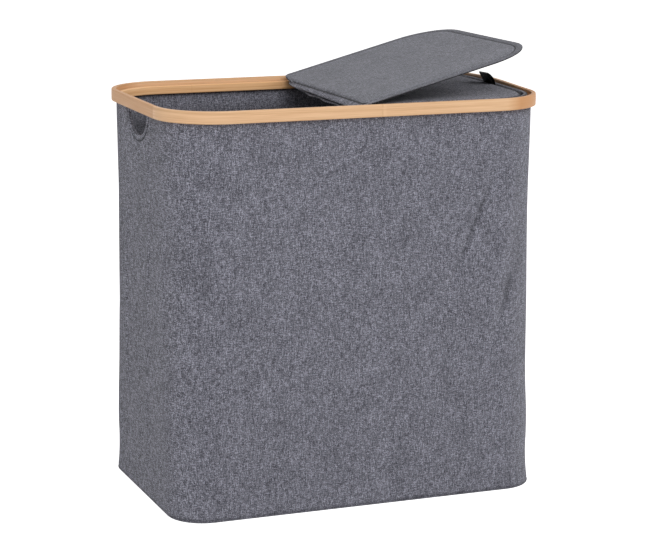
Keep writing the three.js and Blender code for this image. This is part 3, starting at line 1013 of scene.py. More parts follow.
@dataclass(frozen=True)
class Studio:
    """The camera, the lamps and the pale floor.

    Attributes:
        turn: How far the camera stands round to the left of the front, in degrees.
        fall: How far it looks down, in degrees.
        roll: How far it is tilted clockwise, in degrees.
        distance: From the camera to what it looks at.
        aim: The height that it looks at.
        slide: How far it then moves right and up in its own frame.
        lens: Its focal length in millimetres.
        floor_reach: Half the floor's width.
    """

    turn: float = 21.44
    fall: float = 11.84
    roll: float = 0.27
    distance: float = 3.146
    aim: float = 0.3
    slide: tuple[float, float] = (4.6 * MM, -8.6 * MM)
    lens: float = 122.96
    floor_reach: float = 9.0

    def camera(self) -> None:
        """Places the camera at the photograph's viewing angle."""
        turn, fall = math.radians(self.turn), math.radians(self.fall)
        back = Vector((-math.sin(turn) * math.cos(fall), -math.cos(turn) * math.cos(fall), math.sin(fall)))
        right = Vector((math.cos(turn), -math.sin(turn), 0))
        up = back.cross(right)
        data = bpy.data.cameras.new("camera")
        data.lens = self.lens
        data.sensor_width = 36.0
        data.clip_end = 60.0
        camera = bpy.data.objects.new("camera", data)
        place = Vector((0, 0, self.aim)) + back * self.distance + right * self.slide[0] + up * self.slide[1]
        frame_of_view = (
            Matrix((right, up, back)).transposed() @ Matrix.Rotation(math.radians(self.roll), 3, "Z")
        )
        camera.matrix_world = Matrix.Translation(place) @ frame_of_view.to_4x4()
        bpy.context.scene.collection.objects.link(camera)
        bpy.context.scene.camera = camera

    def lamp(self, name: str, place: Sequence[float], width: float, power: float) -> None:
        """Adds a soft square lamp that looks at the hamper.

        Args:
            name: Its name.
            place: Where it hangs.
            width: Its width.
            power: Its power in watts.
        """
        data = bpy.data.lights.new(name, "AREA")
        data.size = width
        data.energy = power
        lamp = bpy.data.objects.new(name, data)
        lamp.location = place
        lamp.rotation_euler = (Vector((0, 0, self.aim)) - Vector(place)).to_track_quat("-Z", "Y").to_euler()
        bpy.context.scene.collection.objects.link(lamp)

    def world(self, strength: float) -> None:
        """Lights the room evenly and shows white to the camera.

        Args:
            strength: The even light's strength.
        """
        world = bpy.data.worlds.new("room")
        bpy.context.scene.world = world
        world.use_nodes = True
        graph = Graph(world.node_tree)
        even = world.node_tree.nodes["Background"]
        even.inputs[0].default_value = (1, 1, 1, 1)
        even.inputs[1].default_value = strength
        shown = graph.add("ShaderNodeBackground")
        shown.inputs[0].default_value = (1, 1, 1, 1)
        shown.inputs[1].default_value = 1.0
        path = graph.add("ShaderNodeLightPath").outputs
        seen = graph.math("MAXIMUM", path["Is Camera Ray"], path["Is Transmission Ray"])
        seen = graph.math("MAXIMUM", seen, path["Is Glossy Ray"])
        mix = graph.add("ShaderNodeMixShader")
        graph.feed(mix.inputs[0], seen)
        graph.feed(mix.inputs[1], even.outputs[0])
        graph.feed(mix.inputs[2], shown.outputs[0])
        graph.feed(world.node_tree.nodes["World Output"].inputs[0], mix.outputs[0])

    def floor(self) -> None:
        """Lays the pale floor, which keeps the hamper's shadow and can be looked through from below."""
        reach = self.floor_reach
        corners = np.array(
            [[[-reach, -reach, 0], [reach, -reach, 0]], [[-reach, reach, 0], [reach, reach, 0]]], float
        )
        made = grid(corners, corners[..., :2]).piece("floor")
        material = bpy.data.materials.new("pale_floor")
        material.use_nodes = True
        graph = Graph(material.node_tree)
        shader = material.node_tree.nodes["Principled BSDF"]
        shader.inputs["Base Color"].default_value = (0.86, 0.86, 0.86, 1)
        shader.inputs["Roughness"].default_value = 0.9
        shader.inputs["Specular IOR Level"].default_value = 0.1
        glow = graph.add("ShaderNodeEmission")
        glow.inputs["Strength"].default_value = 0.9
        path = graph.add("ShaderNodeLightPath").outputs
        clear = graph.add("ShaderNodeBsdfTransparent")
        lit = graph.add("ShaderNodeAddShader")
        graph.feed(lit.inputs[0], shader.outputs[0])
        shown = graph.add("ShaderNodeMixShader")
        graph.feed(shown.inputs[0], graph.math("MAXIMUM", path["Is Camera Ray"], path["Is Glossy Ray"]))
        graph.feed(shown.inputs[2], glow.outputs[0])
        graph.feed(lit.inputs[1], shown.outputs[0])
        one_way = graph.add("ShaderNodeMixShader")
        graph.feed(one_way.inputs[0], graph.add("ShaderNodeNewGeometry").outputs["Backfacing"])
        graph.feed(one_way.inputs[1], lit.outputs[0])
        graph.feed(one_way.inputs[2], clear.outputs[0])
        graph.feed(material.node_tree.nodes["Material Output"].inputs[0], one_way.outputs[0])
        made.data.materials.append(material)

    def build(self) -> None:
        """Sets up the view, the lamps, the room and the floor."""
        settings = bpy.context.scene.view_settings
        settings.view_transform = "Standard"
        self.camera()
        self.lamp("key_lamp", (-0.5, -2.7, 2.5), 2.0, 54)
        self.lamp("left_lamp", (-2.8, -0.9, 1.7), 1.8, 17)
        self.lamp("right_lamp", (2.3, -0.8, 1.9), 1.2, 24)
        self.world(0.31)
        self.floor()


# Stitching


@dataclass
class Stitching:
    """A row of thread stitches, all one mesh.

    Attributes:
        name: The piece's name.
        pitch: From one stitch to the next.
        length: A stitch's length.
        radius: The thread's radius.
        sides: Sides of the thread's section.
        rings: Sections along a stitch.
        parts: The stitches sewn so far.
    """

    name: str
    pitch: float = 4.0 * MM
    length: float = 3.1 * MM
    radius: float = 0.4 * MM
    sides: int = 6
    rings: int = 5
    parts: list[Surface] = field(default_factory=list)

    def stitch(self, start: Vector, end: Vector, up: Vector) -> None:
        """Adds one stitch, a thread that dives into the cloth at both ends.

        Args:
            start: Where it comes out of the cloth.
            end: Where it goes back in.
            up: Away from the cloth.
        """
        centre, half = (start + end) / 2, (end - start).length / 2
        along = (end - start).normalized()
        across = up.cross(along).normalized()
        shares = np.linspace(-1, 1, self.rings)
        angles = 2 * HALF_TURN * np.arange(self.sides) / self.sides
        points = np.zeros((self.rings, self.sides, 3))
        flat = np.zeros((self.rings, self.sides + 1, 2))
        for i, share in enumerate(shares):
            radius = self.radius * math.sqrt(1 - (0.94 * share) ** 2)
            middle = centre + along * (share * half) - up * (self.radius * 1.5 * share ** 4)
            for j, angle in enumerate(angles):
                points[i, j] = middle + across * (radius * math.cos(angle)) + up * (radius * math.sin(angle))
            flat[i, :, 0] = share * half
            flat[i, :, 1] = np.linspace(0, 2 * HALF_TURN * self.radius, self.sides + 1)
        body = grid(points, flat).flipped()
        last = (self.rings - 1) * self.sides
        body.faces.append(tuple(range(self.sides)))
        body.faces.append(tuple(reversed(range(last, last + self.sides))))
        body.flat = np.vstack([body.flat, np.zeros((2 * self.sides, 2))])
        self.parts.append(body)

    def follow(self, line: Sequence[Vector], ups: Sequence[Vector], closed: bool = True) -> "Stitching":
        """Sews along a line.

        Args:
            line: The seam's points.
            ups: Away from the cloth at each of them.
            closed: Whether the seam comes back to its start.

        Returns:
            This row of stitches.
        """
        points = np.array([tuple(p) for p in line])
        normals = np.array([tuple(p) for p in ups])
        if closed:
            points, normals = np.vstack([points, points[:1]]), np.vstack([normals, normals[:1]])
        run = np.concatenate([[0], np.cumsum(np.linalg.norm(np.diff(points, axis=0), axis=1))])
        count = max(1, round(run[-1] / self.pitch))
        for place in (np.arange(count) + 0.5) * run[-1] / count:
            start, end = (Vector([np.interp(p, run, points[:, k]) for k in range(3)])
                          for p in (place - self.length / 2, place + self.length / 2))
            up = Vector([np.interp(place, run, normals[:, k]) for k in range(3)]).normalized()
            self.stitch(start, end, up)
        return self

    def build(self) -> bpy.types.Object:
        """Makes the mesh of all the stitches.

        Returns:
            The piece.
        """
        shifts = np.cumsum([0] + [len(part.vertices) for part in self.parts])
        faces = [
            tuple(index + shift for index in face)
            for part, shift in zip(self.parts, shifts)
            for face in part.faces
        ]
        vertices = np.vstack([part.vertices for part in self.parts])
        return Surface(vertices, faces, np.vstack([part.flat for part in self.parts])).piece(self.name)


# Rim


@dataclass
class BentBand:
    """One bamboo band of the rim: a strip bent round and closed on itself.

    Attributes:
        node: The frame's node that it stands for.
        corner: The radius of its outer face's corners.
        thickness: How thick the strip is.
        edge: The rounding of its edges.
        crown: How far the middle of its faces stands proud of their edges.
        rise: How far the middle of its right side stands higher.
    """

    node: str
    corner: float
    thickness: float
    edge: float = 1.3 * MM
    crown: float = 0.15 * MM
    rise: float = 0.0

    def profile(self) -> list[tuple[float, float]]:
        """The strip's section, up its outer face and down its inner one.

        Returns:
            How far each point lies inside the outer face, and its height.
        """
        low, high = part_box(self.node)
        corners = (
            (self.edge, low.z + self.edge, 3 * QUARTER_TURN),
            (self.edge, high.z - self.edge, HALF_TURN),
            (self.thickness - self.edge, high.z - self.edge, QUARTER_TURN),
            (self.thickness - self.edge, low.z + self.edge, 0),
        )
        steps, between = 5, 6
        points: list[tuple[float, float]] = []
        for depth, height, start in corners:
            for i in range(steps + 1):
                angle = start - QUARTER_TURN * i / steps
                points.append((depth + self.edge * math.cos(angle), height + self.edge * math.sin(angle)))
        closed = points + points[:1]
        section: list[tuple[float, float]] = []
        for i, (here, there) in enumerate(zip(closed, closed[1:])):
            section.append(here)
            if (i + 1) % (steps + 1):
                continue
            upright = abs(here[0] - there[0]) < self.thickness / 4
            outward = -1 if here[0] < self.thickness / 2 else 1
            for k in range(1, between):
                share = k / between
                swell = outward * self.crown * math.sin(HALF_TURN * share) if upright else 0
                section.append((
                    here[0] * (1 - share) + there[0] * share + swell,
                    here[1] * (1 - share) + there[1] * share,
                ))
        return section

    def build(self, finish: bpy.types.Material) -> bpy.types.Object:
        """Makes the band.

        Args:
            finish: Its bamboo.

        Returns:
            The piece.
        """
        _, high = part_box(self.node)
        loop = RoundedLoop(long_steps=48, short_steps=20, corner_steps=22)
        section = self.profile()
        along = loop.lengths(high.x, high.y, self.corner)
        closed = np.array(section + section[:1])
        across = np.concatenate([[0], np.cumsum(np.linalg.norm(np.diff(closed, axis=0), axis=1))])
        rows = []
        for depth, height in section:
            ring = loop.points(high.x - depth, high.y - depth, self.corner - depth)
            bent = (
                self.rise * bell(ring[:, 1] - RISE_MIDDLE, RISE_REACH)
                * ease(ring[:, 0], 150 * MM, 255 * MM)
            )
            rows.append(np.column_stack([ring, height + bent]))
        flat = np.stack(np.broadcast_arrays(along[None, :], across[:, None]), axis=2)
        piece = grid(np.array(rows), flat).piece(self.node.removeprefix("rim_"))
        return settle(piece, Body.HAMPER, finish, [self.node])


@dataclass
class Rim:
    """The bamboo rim: the outer band, and the inner band whose top is the ledge for the lid.

    Attributes:
        corner: The corner radius of the outer face.
        outer_thickness: The outer strip's thickness.
        inner_thickness: The inner strip's thickness.
        rise: How far the outer strip is bent up in the middle of its right side.
    """

    corner: float = 83.6 * MM
    outer_thickness: float = 6.4 * MM
    inner_thickness: float = 6.0 * MM
    rise: float = 4.0 * MM

    def build(self, wardrobe: Wardrobe) -> None:
        """Makes both bands.

        Args:
            wardrobe: The finishes.
        """
        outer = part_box("rim_outer_band")[1]
        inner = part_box("rim_inner_band")[1]
        BentBand(
            "rim_outer_band", self.corner, self.outer_thickness, rise=self.rise
        ).build(wardrobe.outer_strip)
        inset = outer.x - inner.x
        BentBand("rim_inner_band", self.corner - inset, self.inner_thickness).build(wardrobe.inner_strip)


# Bag


@dataclass(frozen=True)
class Crease:
    """A fold line in the bag's cloth.

    Attributes:
        start: One end, in metres.
        end: The other end.
        width: Half the fold's width.
        height: How far it stands out, or in where negative.
    """

    start: tuple[float, float, float]
    end: tuple[float, float, float]
    width: float
    height: float

    def lift(self, points: np.ndarray) -> np.ndarray:
        """How far the fold moves each point outwards.

        Args:
            points: One row a point.

        Returns:
            One value a point.
        """
        start, end = np.array(self.start), np.array(self.end)
        run = end - start
        share = np.clip((points - start) @ run / (run @ run), 0, 1)
        away = np.linalg.norm(points - start - share[:, None] * run, axis=1)
        return self.height * bell(away, self.width) * np.sin(HALF_TURN * (0.15 + 0.7 * share))


@dataclass
class BagShape:
    """The outline of the bag at each height.

    Attributes:
        base_half_depth: Half the depth at the floor.
        rim_corner: Corner radius at the top.
        shoulder_corner: Corner radius just above the base.
        base_corner: Corner radius at the floor.
        flare: The corners widen towards the base within this height.
        edge: The rounding of the bottom edge.
        cloth: The cloth's thickness.
    """

    base_half_depth: float = 167 * MM
    rim_corner: float = 76.9 * MM
    shoulder_corner: float = 67 * MM
    base_corner: float = 52 * MM
    flare: float = 60 * MM
    edge: float = 3 * MM
    cloth: float = 1.4 * MM

    def __post_init__(self) -> None:
        """Takes the outer sizes from the frame."""
        _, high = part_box("bag_wall")
        self.half_length, self.top_half_depth, self.top = high

    def at(self, height: float, inset: float = 0.0) -> tuple[float, float, float]:
        """The outline's size at a height.

        Args:
            height: Above the floor.
            inset: How far inside the outer face.

        Returns:
            Half the length, half the depth and the corner radius.
        """
        share = height / self.top
        half_depth = self.base_half_depth + (self.top_half_depth - self.base_half_depth) * share
        flare = max(0.0, 1 - height / self.flare) ** 2
        corner = self.shoulder_corner + (self.rim_corner - self.shoulder_corner) * share
        corner -= (self.shoulder_corner - self.base_corner) * flare
        return self.half_length - inset, half_depth - inset, corner - inset

    def turn_in(self, height: float) -> float:
        """How far the rounded bottom edge lies inside the wall's face at a height."""
        reach = max(0.0, self.edge - height)
        return self.edge - math.sqrt(self.edge ** 2 - reach ** 2)


@dataclass
class HandHole:
    """The hole under the rim in each short side, half an ellipse.

    Attributes:
        half_width: Half its width.
        depth: From its top to its lowest point.
        top: The height of its straight top edge, behind the outer band.
        lip: The turned edge is this wide, up to its stitches.
        steps: Points round it.
    """

    half_width: float = 43 * MM
    depth: float = 36 * MM
    top: float = 541.2 * MM
    lip: float = 7.6 * MM
    steps: int = 64

    def arc(self, spread: float, height: float | None = None) -> np.ndarray:
        """The hole's outline, or one that lies a little way outside it.

        Args:
            spread: How far outside.
            height: Where it ends on both sides, or the hole's top.

        Returns:
            Y and Z of each point, from front to back.
        """
        deep = self.depth + spread
        start = math.asin((self.top - (self.top if height is None else height)) / deep)
        angles = np.linspace(start, HALF_TURN - start, self.steps + 1)
        return np.stack(
            [-(self.half_width + spread) * np.cos(angles), self.top - deep * np.sin(angles)], axis=1
        )

    def distance(self, y: np.ndarray, z: np.ndarray) -> np.ndarray:
        """How far outside the hole's outline each point lies.

        Args:
            y: The points' Y.
            z: Their heights.

        Returns:
            The distances, negative inside.
        """
        down = self.top - z
        away = np.zeros_like(y)
        for _ in range(12):
            wide, deep = self.half_width + away, self.depth + away
            over = np.sqrt((y / wide) ** 2 + (down / deep) ** 2)
            away = away + (over - 1) * np.minimum(wide, deep)
            away = np.maximum(away, 1 * MM - self.depth)
        return away

    def lift(self, away: np.ndarray) -> np.ndarray:
        """How far the turned and stitched edge stands out of the wall.

        Args:
            away: Distances from the outline.

        Returns:
            One value a point.
        """
        puff = 0.75 * MM * np.sin(HALF_TURN * np.clip(away / self.lip, 0, 1)) ** 0.7
        groove = 1.0 * MM * bell(away - self.lip, 1.1 * MM)
        roll = 0.7 * MM * (1 - ease(away, 0, 1.2 * MM))
        beyond = (
            0.35 * MM * ease(away, self.lip, self.lip + 1.5 * MM)
            * (1 - ease(away, self.lip + 2 * MM, self.lip + 6 * MM))
        )
        return puff + beyond - groove - roll


@dataclass
class Bag:
    """The bag: its wall with the hand holes, its floor, the facings and the rod sleeves.

    Attributes:
        shape: Its outline.
        hole: Its hand holes.
        loop: The columns of its mesh.
        facing_width: The width of the facing sewn inside each hand hole.
        facing_thickness: The facing's thickness.
        side_yarn: The yarn over the short sides is this much finer-lying along the cloth.
        creases: Its folds.
    """

    shape: BagShape = field(default_factory=BagShape)
    hole: HandHole = field(default_factory=HandHole)
    loop: RoundedLoop = field(default_factory=RoundedLoop)
    facing_width: float = 11 * MM
    facing_thickness: float = 1.2 * MM
    side_yarn: float = 0.6
    creases: tuple[Crease, ...] = (
        Crease((0.196, -0.168, 0.470), (0.118, -0.168, 0.288), 6 * MM, -3.8 * MM),
        Crease((0.217, -0.168, 0.309), (0.192, -0.168, 0.219), 7 * MM, -3.4 * MM),
        Crease((0.223, -0.168, 0.466), (0.184, -0.168, 0.244), 13 * MM, 3.0 * MM),
        Crease((-0.120, -0.168, 0.290), (-0.139, -0.168, 0.159), 10 * MM, -2.2 * MM),
        Crease((-0.225, -0.160, 0.46), (-0.215, -0.162, 0.10), 12 * MM, -1.0 * MM),
        Crease((-0.268, 0.054, 0.498), (-0.268, 0.070, 0.119), 4.5 * MM, 2.2 * MM),
        Crease((-0.268, -0.049, 0.503), (-0.268, -0.020, 0.026), 4.5 * MM, 2.2 * MM),
        Crease((0.268, 0.060, 0.46), (0.268, 0.066, 0.09), 8 * MM, 0.9 * MM),
        Crease((0.268, -0.070, 0.43), (0.268, -0.055, 0.12), 8 * MM, 0.8 * MM),
        Crease((-0.16, 0.168, 0.44), (-0.10, 0.168, 0.25), 11 * MM, -1.3 * MM),
        Crease((0.12, 0.168, 0.38), (0.15, 0.168, 0.16), 12 * MM, 1.2 * MM),
    )

    def heights(self) -> np.ndarray:
        """The heights of the wall's rows: close together round the bottom edge, then even."""
        edge = self.shape.edge * (1 - np.cos(np.linspace(0, QUARTER_TURN, 7)))
        seam = np.arange(4.0, 12.0, 0.8) * MM
        rest = np.linspace(13 * MM, self.shape.top, 112)
        return np.concatenate([edge, seam, rest])

    def relief(self, points: np.ndarray) -> np.ndarray:
        """How far the cloth stands out of its plain shape.

        Args:
            points: Points on the plain wall.

        Returns:
            One value a point.
        """
        height = points[:, 2]
        free = ease(height, 12 * MM, 70 * MM) * (1 - ease(height, 470 * MM, 533 * MM))
        broad = np.array([smooth_noise(p, 120 * MM, 3.1) for p in points]) * 1.5 * MM
        slack = np.array([smooth_noise((p[0], p[1], p[2] * 0.35), 34 * MM, 7.7) for p in points]) * 0.45 * MM
        fine = np.array([smooth_noise((p[0], p[1], p[2] * 0.5), 11 * MM, 1.9) for p in points]) * 0.1 * MM
        lift = (
            (broad + slack) * free
            + fine * ease(height, 10 * MM, 25 * MM) * (1 - ease(height, 520 * MM, 538 * MM))
        )
        for crease in self.creases:
            lift = lift + crease.lift(points) * ease(height, 10 * MM, 40 * MM)
        short = ease(np.abs(points[:, 0]), self.shape.half_length - 12 * MM, self.shape.half_length - 1 * MM)
        ripple = np.array([smooth_noise((0, p[1], p[2] * 0.12), 9 * MM, 4.9) for p in points])
        lift += (
            ripple * 0.6 * MM * short
            * ease(height, 15 * MM, 60 * MM) * (1 - ease(height, 480 * MM, 520 * MM))
        )
        corner = (
            ease(np.abs(points[:, 1]), 92 * MM, 115 * MM)
            * ease(np.abs(points[:, 0]), 180 * MM, 230 * MM)
        )
        lift += corner * (
            1.5 * MM * bell(height - 85 * MM, 45 * MM) - 2.4 * MM * bell(height - 330 * MM, 110 * MM)
        )
        lift -= 0.6 * MM * bell(height - 5 * MM, 1.3 * MM)
        near_rods = (
            (np.abs(points[:, 0]) > self.shape.half_length - 1 * MM)
            & (np.abs(points[:, 1]) < 92 * MM)
        )
        return np.where(near_rods, np.maximum(lift, -0.15 * MM), lift)

    def outward(self, points: np.ndarray, heights: np.ndarray) -> np.ndarray:
        """The level direction out of the plain wall at each point.

        Args:
            points: Points on the wall.
            heights: Their heights.

        Returns:
            One row a point.
        """
        sizes = np.array([self.shape.at(h) for h in heights])
        core = np.stack([sizes[:, 0] - sizes[:, 2], sizes[:, 1] - sizes[:, 2]], axis=1)
        off = points[:, :2] - np.clip(points[:, :2], -core, core)
        length = np.maximum(np.linalg.norm(off, axis=1), 1e-9)
        return np.column_stack([off / length[:, None], np.zeros(len(points))])

    def hole_block(self, side: Side, heights: np.ndarray) -> tuple[int, int, int]:
        """The part of the grid that is left out round a hand hole.

        Args:
            side: Which hole.
            heights: The rows' heights.

        Returns:
            The first row, the first column and the last column.
        """
        first_row = int(np.searchsorted(heights, self.hole.top - self.hole.depth - 20 * MM))
        start = self.loop.left_start if side is Side.LEFT else self.loop.right_start
        half_width = self.hole.half_width + 17 * MM
        _, half_y, corner = self.shape.at(self.hole.top)
        step = 2 * (half_y - corner) / self.loop.short_steps
        reach = math.ceil(half_width / step)
        middle = self.loop.short_steps // 2
        return first_row, start + middle - reach, start + middle + reach

    def patch(self, side: Side, rows: np.ndarray, block: tuple[int, int, int]) -> Surface:
        """The cloth round a hand hole, with the hole cut out.

        Args:
            side: Which hole.
            rows: The whole grid's points.
            block: The part of the grid to fill.

        Returns:
            Its surface.
        """
        first_row, first, last = block
        part = rows[first_row:, first:last + 1, 1:]
        loop = np.concatenate([part[0, :-1], part[:-1, -1], part[-1, :0:-1], part[:0:-1, 0]])
        if side is Side.LEFT:
            loop = loop[::-1]
        hole = self.hole
        spreads = (0.0, 0.4, 0.9, 1.6, 2.6, 4.0, 5.4, 6.4, 7.0, 7.6, 8.2, 8.9, 10.0, 11.5, 13.5)
        arcs = [hole.arc(spread * MM) for spread in spreads]
        arcs[0] = np.vstack([arcs[0], straight(arcs[0][-1], arcs[0][0], 24)[1:], arcs[0][:1]])
        inner = part[1:-1, 1:-1].reshape(-1, 2)
        away = hole.distance(inner[:, 0], inner[:, 1])
        above = (inner[:, 1] > hole.top + 1 * MM) & (np.abs(inner[:, 0]) < hole.half_width + 16 * MM)
        seeds = inner[(away > 15 * MM) | above]

        def kept(centre: np.ndarray) -> bool:
            """Whether a triangle isn't in the hole."""
            down = hole.top - centre[1]
            return down < 0 or (centre[0] / hole.half_width) ** 2 + (down / hole.depth) ** 2 > 1

        points, triangles = fill(loop, arcs, seeds, kept)
        points_x = np.full(len(points), side.value * self.shape.half_length)
        vertices = np.column_stack([points_x, points])
        corners = np.array([points[index] for face in triangles for index in face])
        surface = Surface(vertices, triangles, self.flat_places(side, corners))
        return surface if side is Side.RIGHT else surface.flipped()

    def flat_places(self, side: Side, corners: np.ndarray) -> np.ndarray:
        """Where points of a short side lie on the flat cloth.

        Args:
            side: Which short side.
            corners: Y and Z of the points.

        Returns:
            How far along and up they lie.
        """
        half_x, half_y, corner = np.array([self.shape.at(z) for z in corners[:, 1]]).T
        before = (half_x - corner) + QUARTER_TURN * corner + (half_y - corner)
        along = self.laid(side.value * (before + corners[:, 0]), half_x, half_y, corner)
        return np.column_stack([along, corners[:, 1]])

    def laid(
        self, along: np.ndarray, half_x: np.ndarray, half_y: np.ndarray, corner: np.ndarray
    ) -> np.ndarray:
        """Turns distances round the bag into places along the cloth.

        Args:
            along: Distances from the middle of the front.
            half_x: Half the bag's length there.
            half_y: Half its depth.
            corner: Its corner radius.

        Returns:
            One place a distance.
        """
        start = half_x - corner + QUARTER_TURN * corner
        past = np.clip(np.abs(along) - start, 0, 2 * (half_y - corner))
        return along - np.sign(along) * (1 - self.side_yarn) * past

    def wall(self, wardrobe: Wardrobe) -> None:
        """Makes the wall: one cloth tube with its hand holes, seams and folds.

        Args:
            wardrobe: The finishes.
        """
        heights = self.heights()
        rows, flat = [], []
        for height in heights:
            sizes = self.shape.at(height, self.shape.turn_in(height))
            ring = self.loop.points(*sizes)
            rows.append(np.column_stack([ring, np.full(len(ring), height)]))
            outline = self.shape.at(height)
            along = self.laid(self.loop.lengths(*outline), *outline)
            flat.append(np.column_stack([along, np.full(len(along), height)]))
        rows, flat = np.array(rows), np.array(flat)
        blocks = [self.hole_block(side, heights) for side in Side]

        def skipped(row: int, column: int) -> bool:
            """Whether a face of the grid belongs to a hand hole's patch."""
            return any(row >= first_row and first <= column < last for first_row, first, last in blocks)

        surface = grid(rows, flat, skipped)
        for side, block in zip(Side, blocks):
            surface = surface.joined(self.patch(side, rows, block))
        points = surface.vertices
        lift = self.relief(points)
        short_side = np.abs(points[:, 0]) > self.shape.half_length - 0.01 * MM
        away = self.hole.distance(points[:, 1], points[:, 2])
        by_hole = short_side & (away < 16 * MM) & (points[:, 2] < self.hole.top)
        fade = 1 - ease(points[:, 2], 536 * MM, 539 * MM)
        lift = np.where(by_hole, lift + self.hole.lift(away) * fade, lift)
        surface.vertices = points + self.outward(points, points[:, 2]) * lift[:, None]
        # Painted shade: a dark line in the bottom seam, in the stitch groove round each hand hole, stronger
        # on its front side, and in the deepest creases.
        hem_shade = 0.5 * bell(points[:, 2] - 3.5 * MM, 1.5 * MM)
        ring = bell(away - self.hole.lip, 1.3 * MM) * (0.35 + 0.5 * ease(-points[:, 1], -10 * MM, 25 * MM))
        fold = 0.34 * np.clip((-self.relief(points) / MM - 2.3) / 1.2, 0, 1)
        surface.shade = np.where(by_hole, ring, np.maximum(hem_shade, fold))
        piece = thicken(surface.piece("bag_wall_cloth"), self.shape.cloth)
        settle(piece, Body.HAMPER, wardrobe.bag, ["bag_wall"])
        piece.data.materials.append(wardrobe.inside)
        piece.modifiers["thickness"].material_offset = 1
        round_it = float(np.ptp(self.loop.lengths(*self.shape.at(self.shape.top))))

    def facings(self, wardrobe: Wardrobe) -> None:
        """Makes the facing inside each hand hole, and the stitches that hold it.

        Args:
            wardrobe: The finishes.
        """
        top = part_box("handle_facing_left")[1].z
        spreads = np.array([0.0, 0.5, 2.0, 4.0, 6.0, 7.6, 9.0, 10.3, 11.0]) * MM
        for side in Side:
            low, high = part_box(f"handle_facing_{side.word}")
            face = (low.x if side is Side.RIGHT else high.x)
            rows, flat = [], []
            for spread in spreads:
                arc = self.hole.arc(spread, top)
                rise = 0.25 * MM * math.sin(HALF_TURN * spread / self.facing_width)
                rows.append(np.column_stack([np.full(len(arc), face - side.value * rise), arc]))
                flat.append(arc)
            surface = grid(np.array(rows), np.array(flat))
            if side is Side.LEFT:
                surface = surface.flipped()
            piece = thicken(surface.piece(f"hand_hole_facing_{side.word}"), self.facing_thickness - 0.1 * MM)
            settle(piece, Body.HAMPER, wardrobe.bag, [f"handle_facing_{side.word}"])
            cut = self.facing_width, run_length(self.hole.arc(self.facing_width / 2, top))
            arc = self.hole.arc(self.hole.lip, 536 * MM)
            outside = side.value * (self.shape.half_length + 0.05 * MM)
            inside = face - side.value * 0.15 * MM
            stitches = Stitching(f"hand_hole_stitches_{side.word}")
            for x, out in ((outside, side.value), (inside, -side.value)):
                line = [Vector((x, y, z)) for y, z in arc]
                stitches.follow(line, [Vector((out, 0, 0))] * len(line), closed=False)
            settle(stitches.build(), Body.HAMPER, wardrobe.thread)

    def floor(self, finish: bpy.types.Material) -> None:
        """Makes the bag's floor.

        Args:
            finish: Its cloth.
        """
        inset = self.shape.edge + self.shape.cloth + 0.2 * MM
        loop = RoundedLoop(long_steps=60, short_steps=30, corner_steps=14).points(*self.shape.at(0, inset))
        half_x, half_y, _ = self.shape.at(0, inset)
        step = 8 * MM
        xs, ys = (
            np.arange(-half_x + step, half_x - step, step),
            np.arange(-half_y + step, half_y - step, step),
        )
        seeds = np.array([(x, y) for x in xs for y in ys])
        near = np.array([np.min(np.linalg.norm(loop - p, axis=1)) for p in seeds])
        core = half_x - self.shape.base_corner, half_y - self.shape.base_corner
        off = np.maximum(np.abs(seeds) - core, 0)
        inside = np.linalg.norm(off, axis=1) < self.shape.base_corner - inset
        points, triangles = fill(loop, [], seeds[inside & (near > step * 0.6)], lambda centre: True)
        lift = np.array([abs(smooth_noise((p[0], p[1], 0), 60 * MM, 2.2)) for p in points]) * 0.15 * MM
        vertices = np.column_stack([points, self.shape.cloth - lift])
        corners = np.array([points[index] for face in triangles for index in face])
        piece = thicken(
            Surface(vertices, triangles, corners).piece("bag_floor_cloth"), self.shape.cloth - 0.2 * MM
        )
        settle(piece, Body.HAMPER, finish, ["bag_floor"])

    def sleeves(self, wardrobe: Wardrobe) -> None:
        """Makes the channel of cloth round each rod, with the stitches along its two edges.

        Args:
            wardrobe: The finishes.
        """
        for side in Side:
            for end in ("front", "back"):
                name = f"{end}_{side.word}"
                low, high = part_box(f"rod_sleeve_{name}")
                rod_low, rod_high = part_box(f"support_rod_{name}")
                centre = (rod_low + rod_high) / 2
                wall = high.x if side is Side.RIGHT else low.x
                radius = abs(wall - centre.x) + 0.9 * MM
                reach = (high.y - low.y) / 2
                face = wall - side.value * 0.6 * MM
                section = [(face, reach), (face, (reach + radius) / 2), (face, radius + 0.8 * MM)]
                angles = np.linspace(QUARTER_TURN * 0.8, -QUARTER_TURN * 0.8, 13)
                section += [
                    (centre.x - side.value * radius * math.cos(a), radius * math.sin(a)) for a in angles
                ]
                section += [(x, -y) for x, y in reversed(section[:3])]
                heights = np.linspace(low.z, high.z, 64)
                rows, flat = [], []
                for height in heights:
                    ripple = smooth_noise((centre.y, centre.x, height), 26 * MM, 5.5) * 0.35 * MM
                    middle = 1 - abs(np.linspace(-1, 1, len(section))) ** 2
                    rows.append([
                        (x - side.value * ripple * m, centre.y + y, height)
                        for (x, y), m in zip(section, middle)
                    ])
                    flat.append([(0.4 * MM * k * 4, height) for k in range(len(section))])
                surface = grid(np.array(rows), np.array(flat))
                piece = thicken(surface.piece(f"rod_sleeve_cloth_{name}"), 0.8 * MM, 0.0)
                settle(piece, Body.HAMPER, wardrobe.bag, [f"rod_sleeve_{name}"])
                stitches = Stitching(f"sleeve_stitches_{name}")
                for y in (reach - 2.5 * MM, 2.5 * MM - reach):
                    line = [
                        Vector((face - side.value * 0.45 * MM, centre.y + y, z))
                        for z in (low.z + 2 * MM, high.z - 2 * MM)
                    ]
                    stitches.follow(line, [Vector((-side.value, 0, 0))] * 2, closed=False)
                settle(stitches.build(), Body.HAMPER, wardrobe.thread)

    def build(self, wardrobe: Wardrobe) -> None:
        """Makes the bag's pieces.

        Args:
            wardrobe: The finishes.
        """
        self.wall(wardrobe)
        self.facings(wardrobe)
        self.floor(wardrobe.bag)
        self.sleeves(wardrobe)


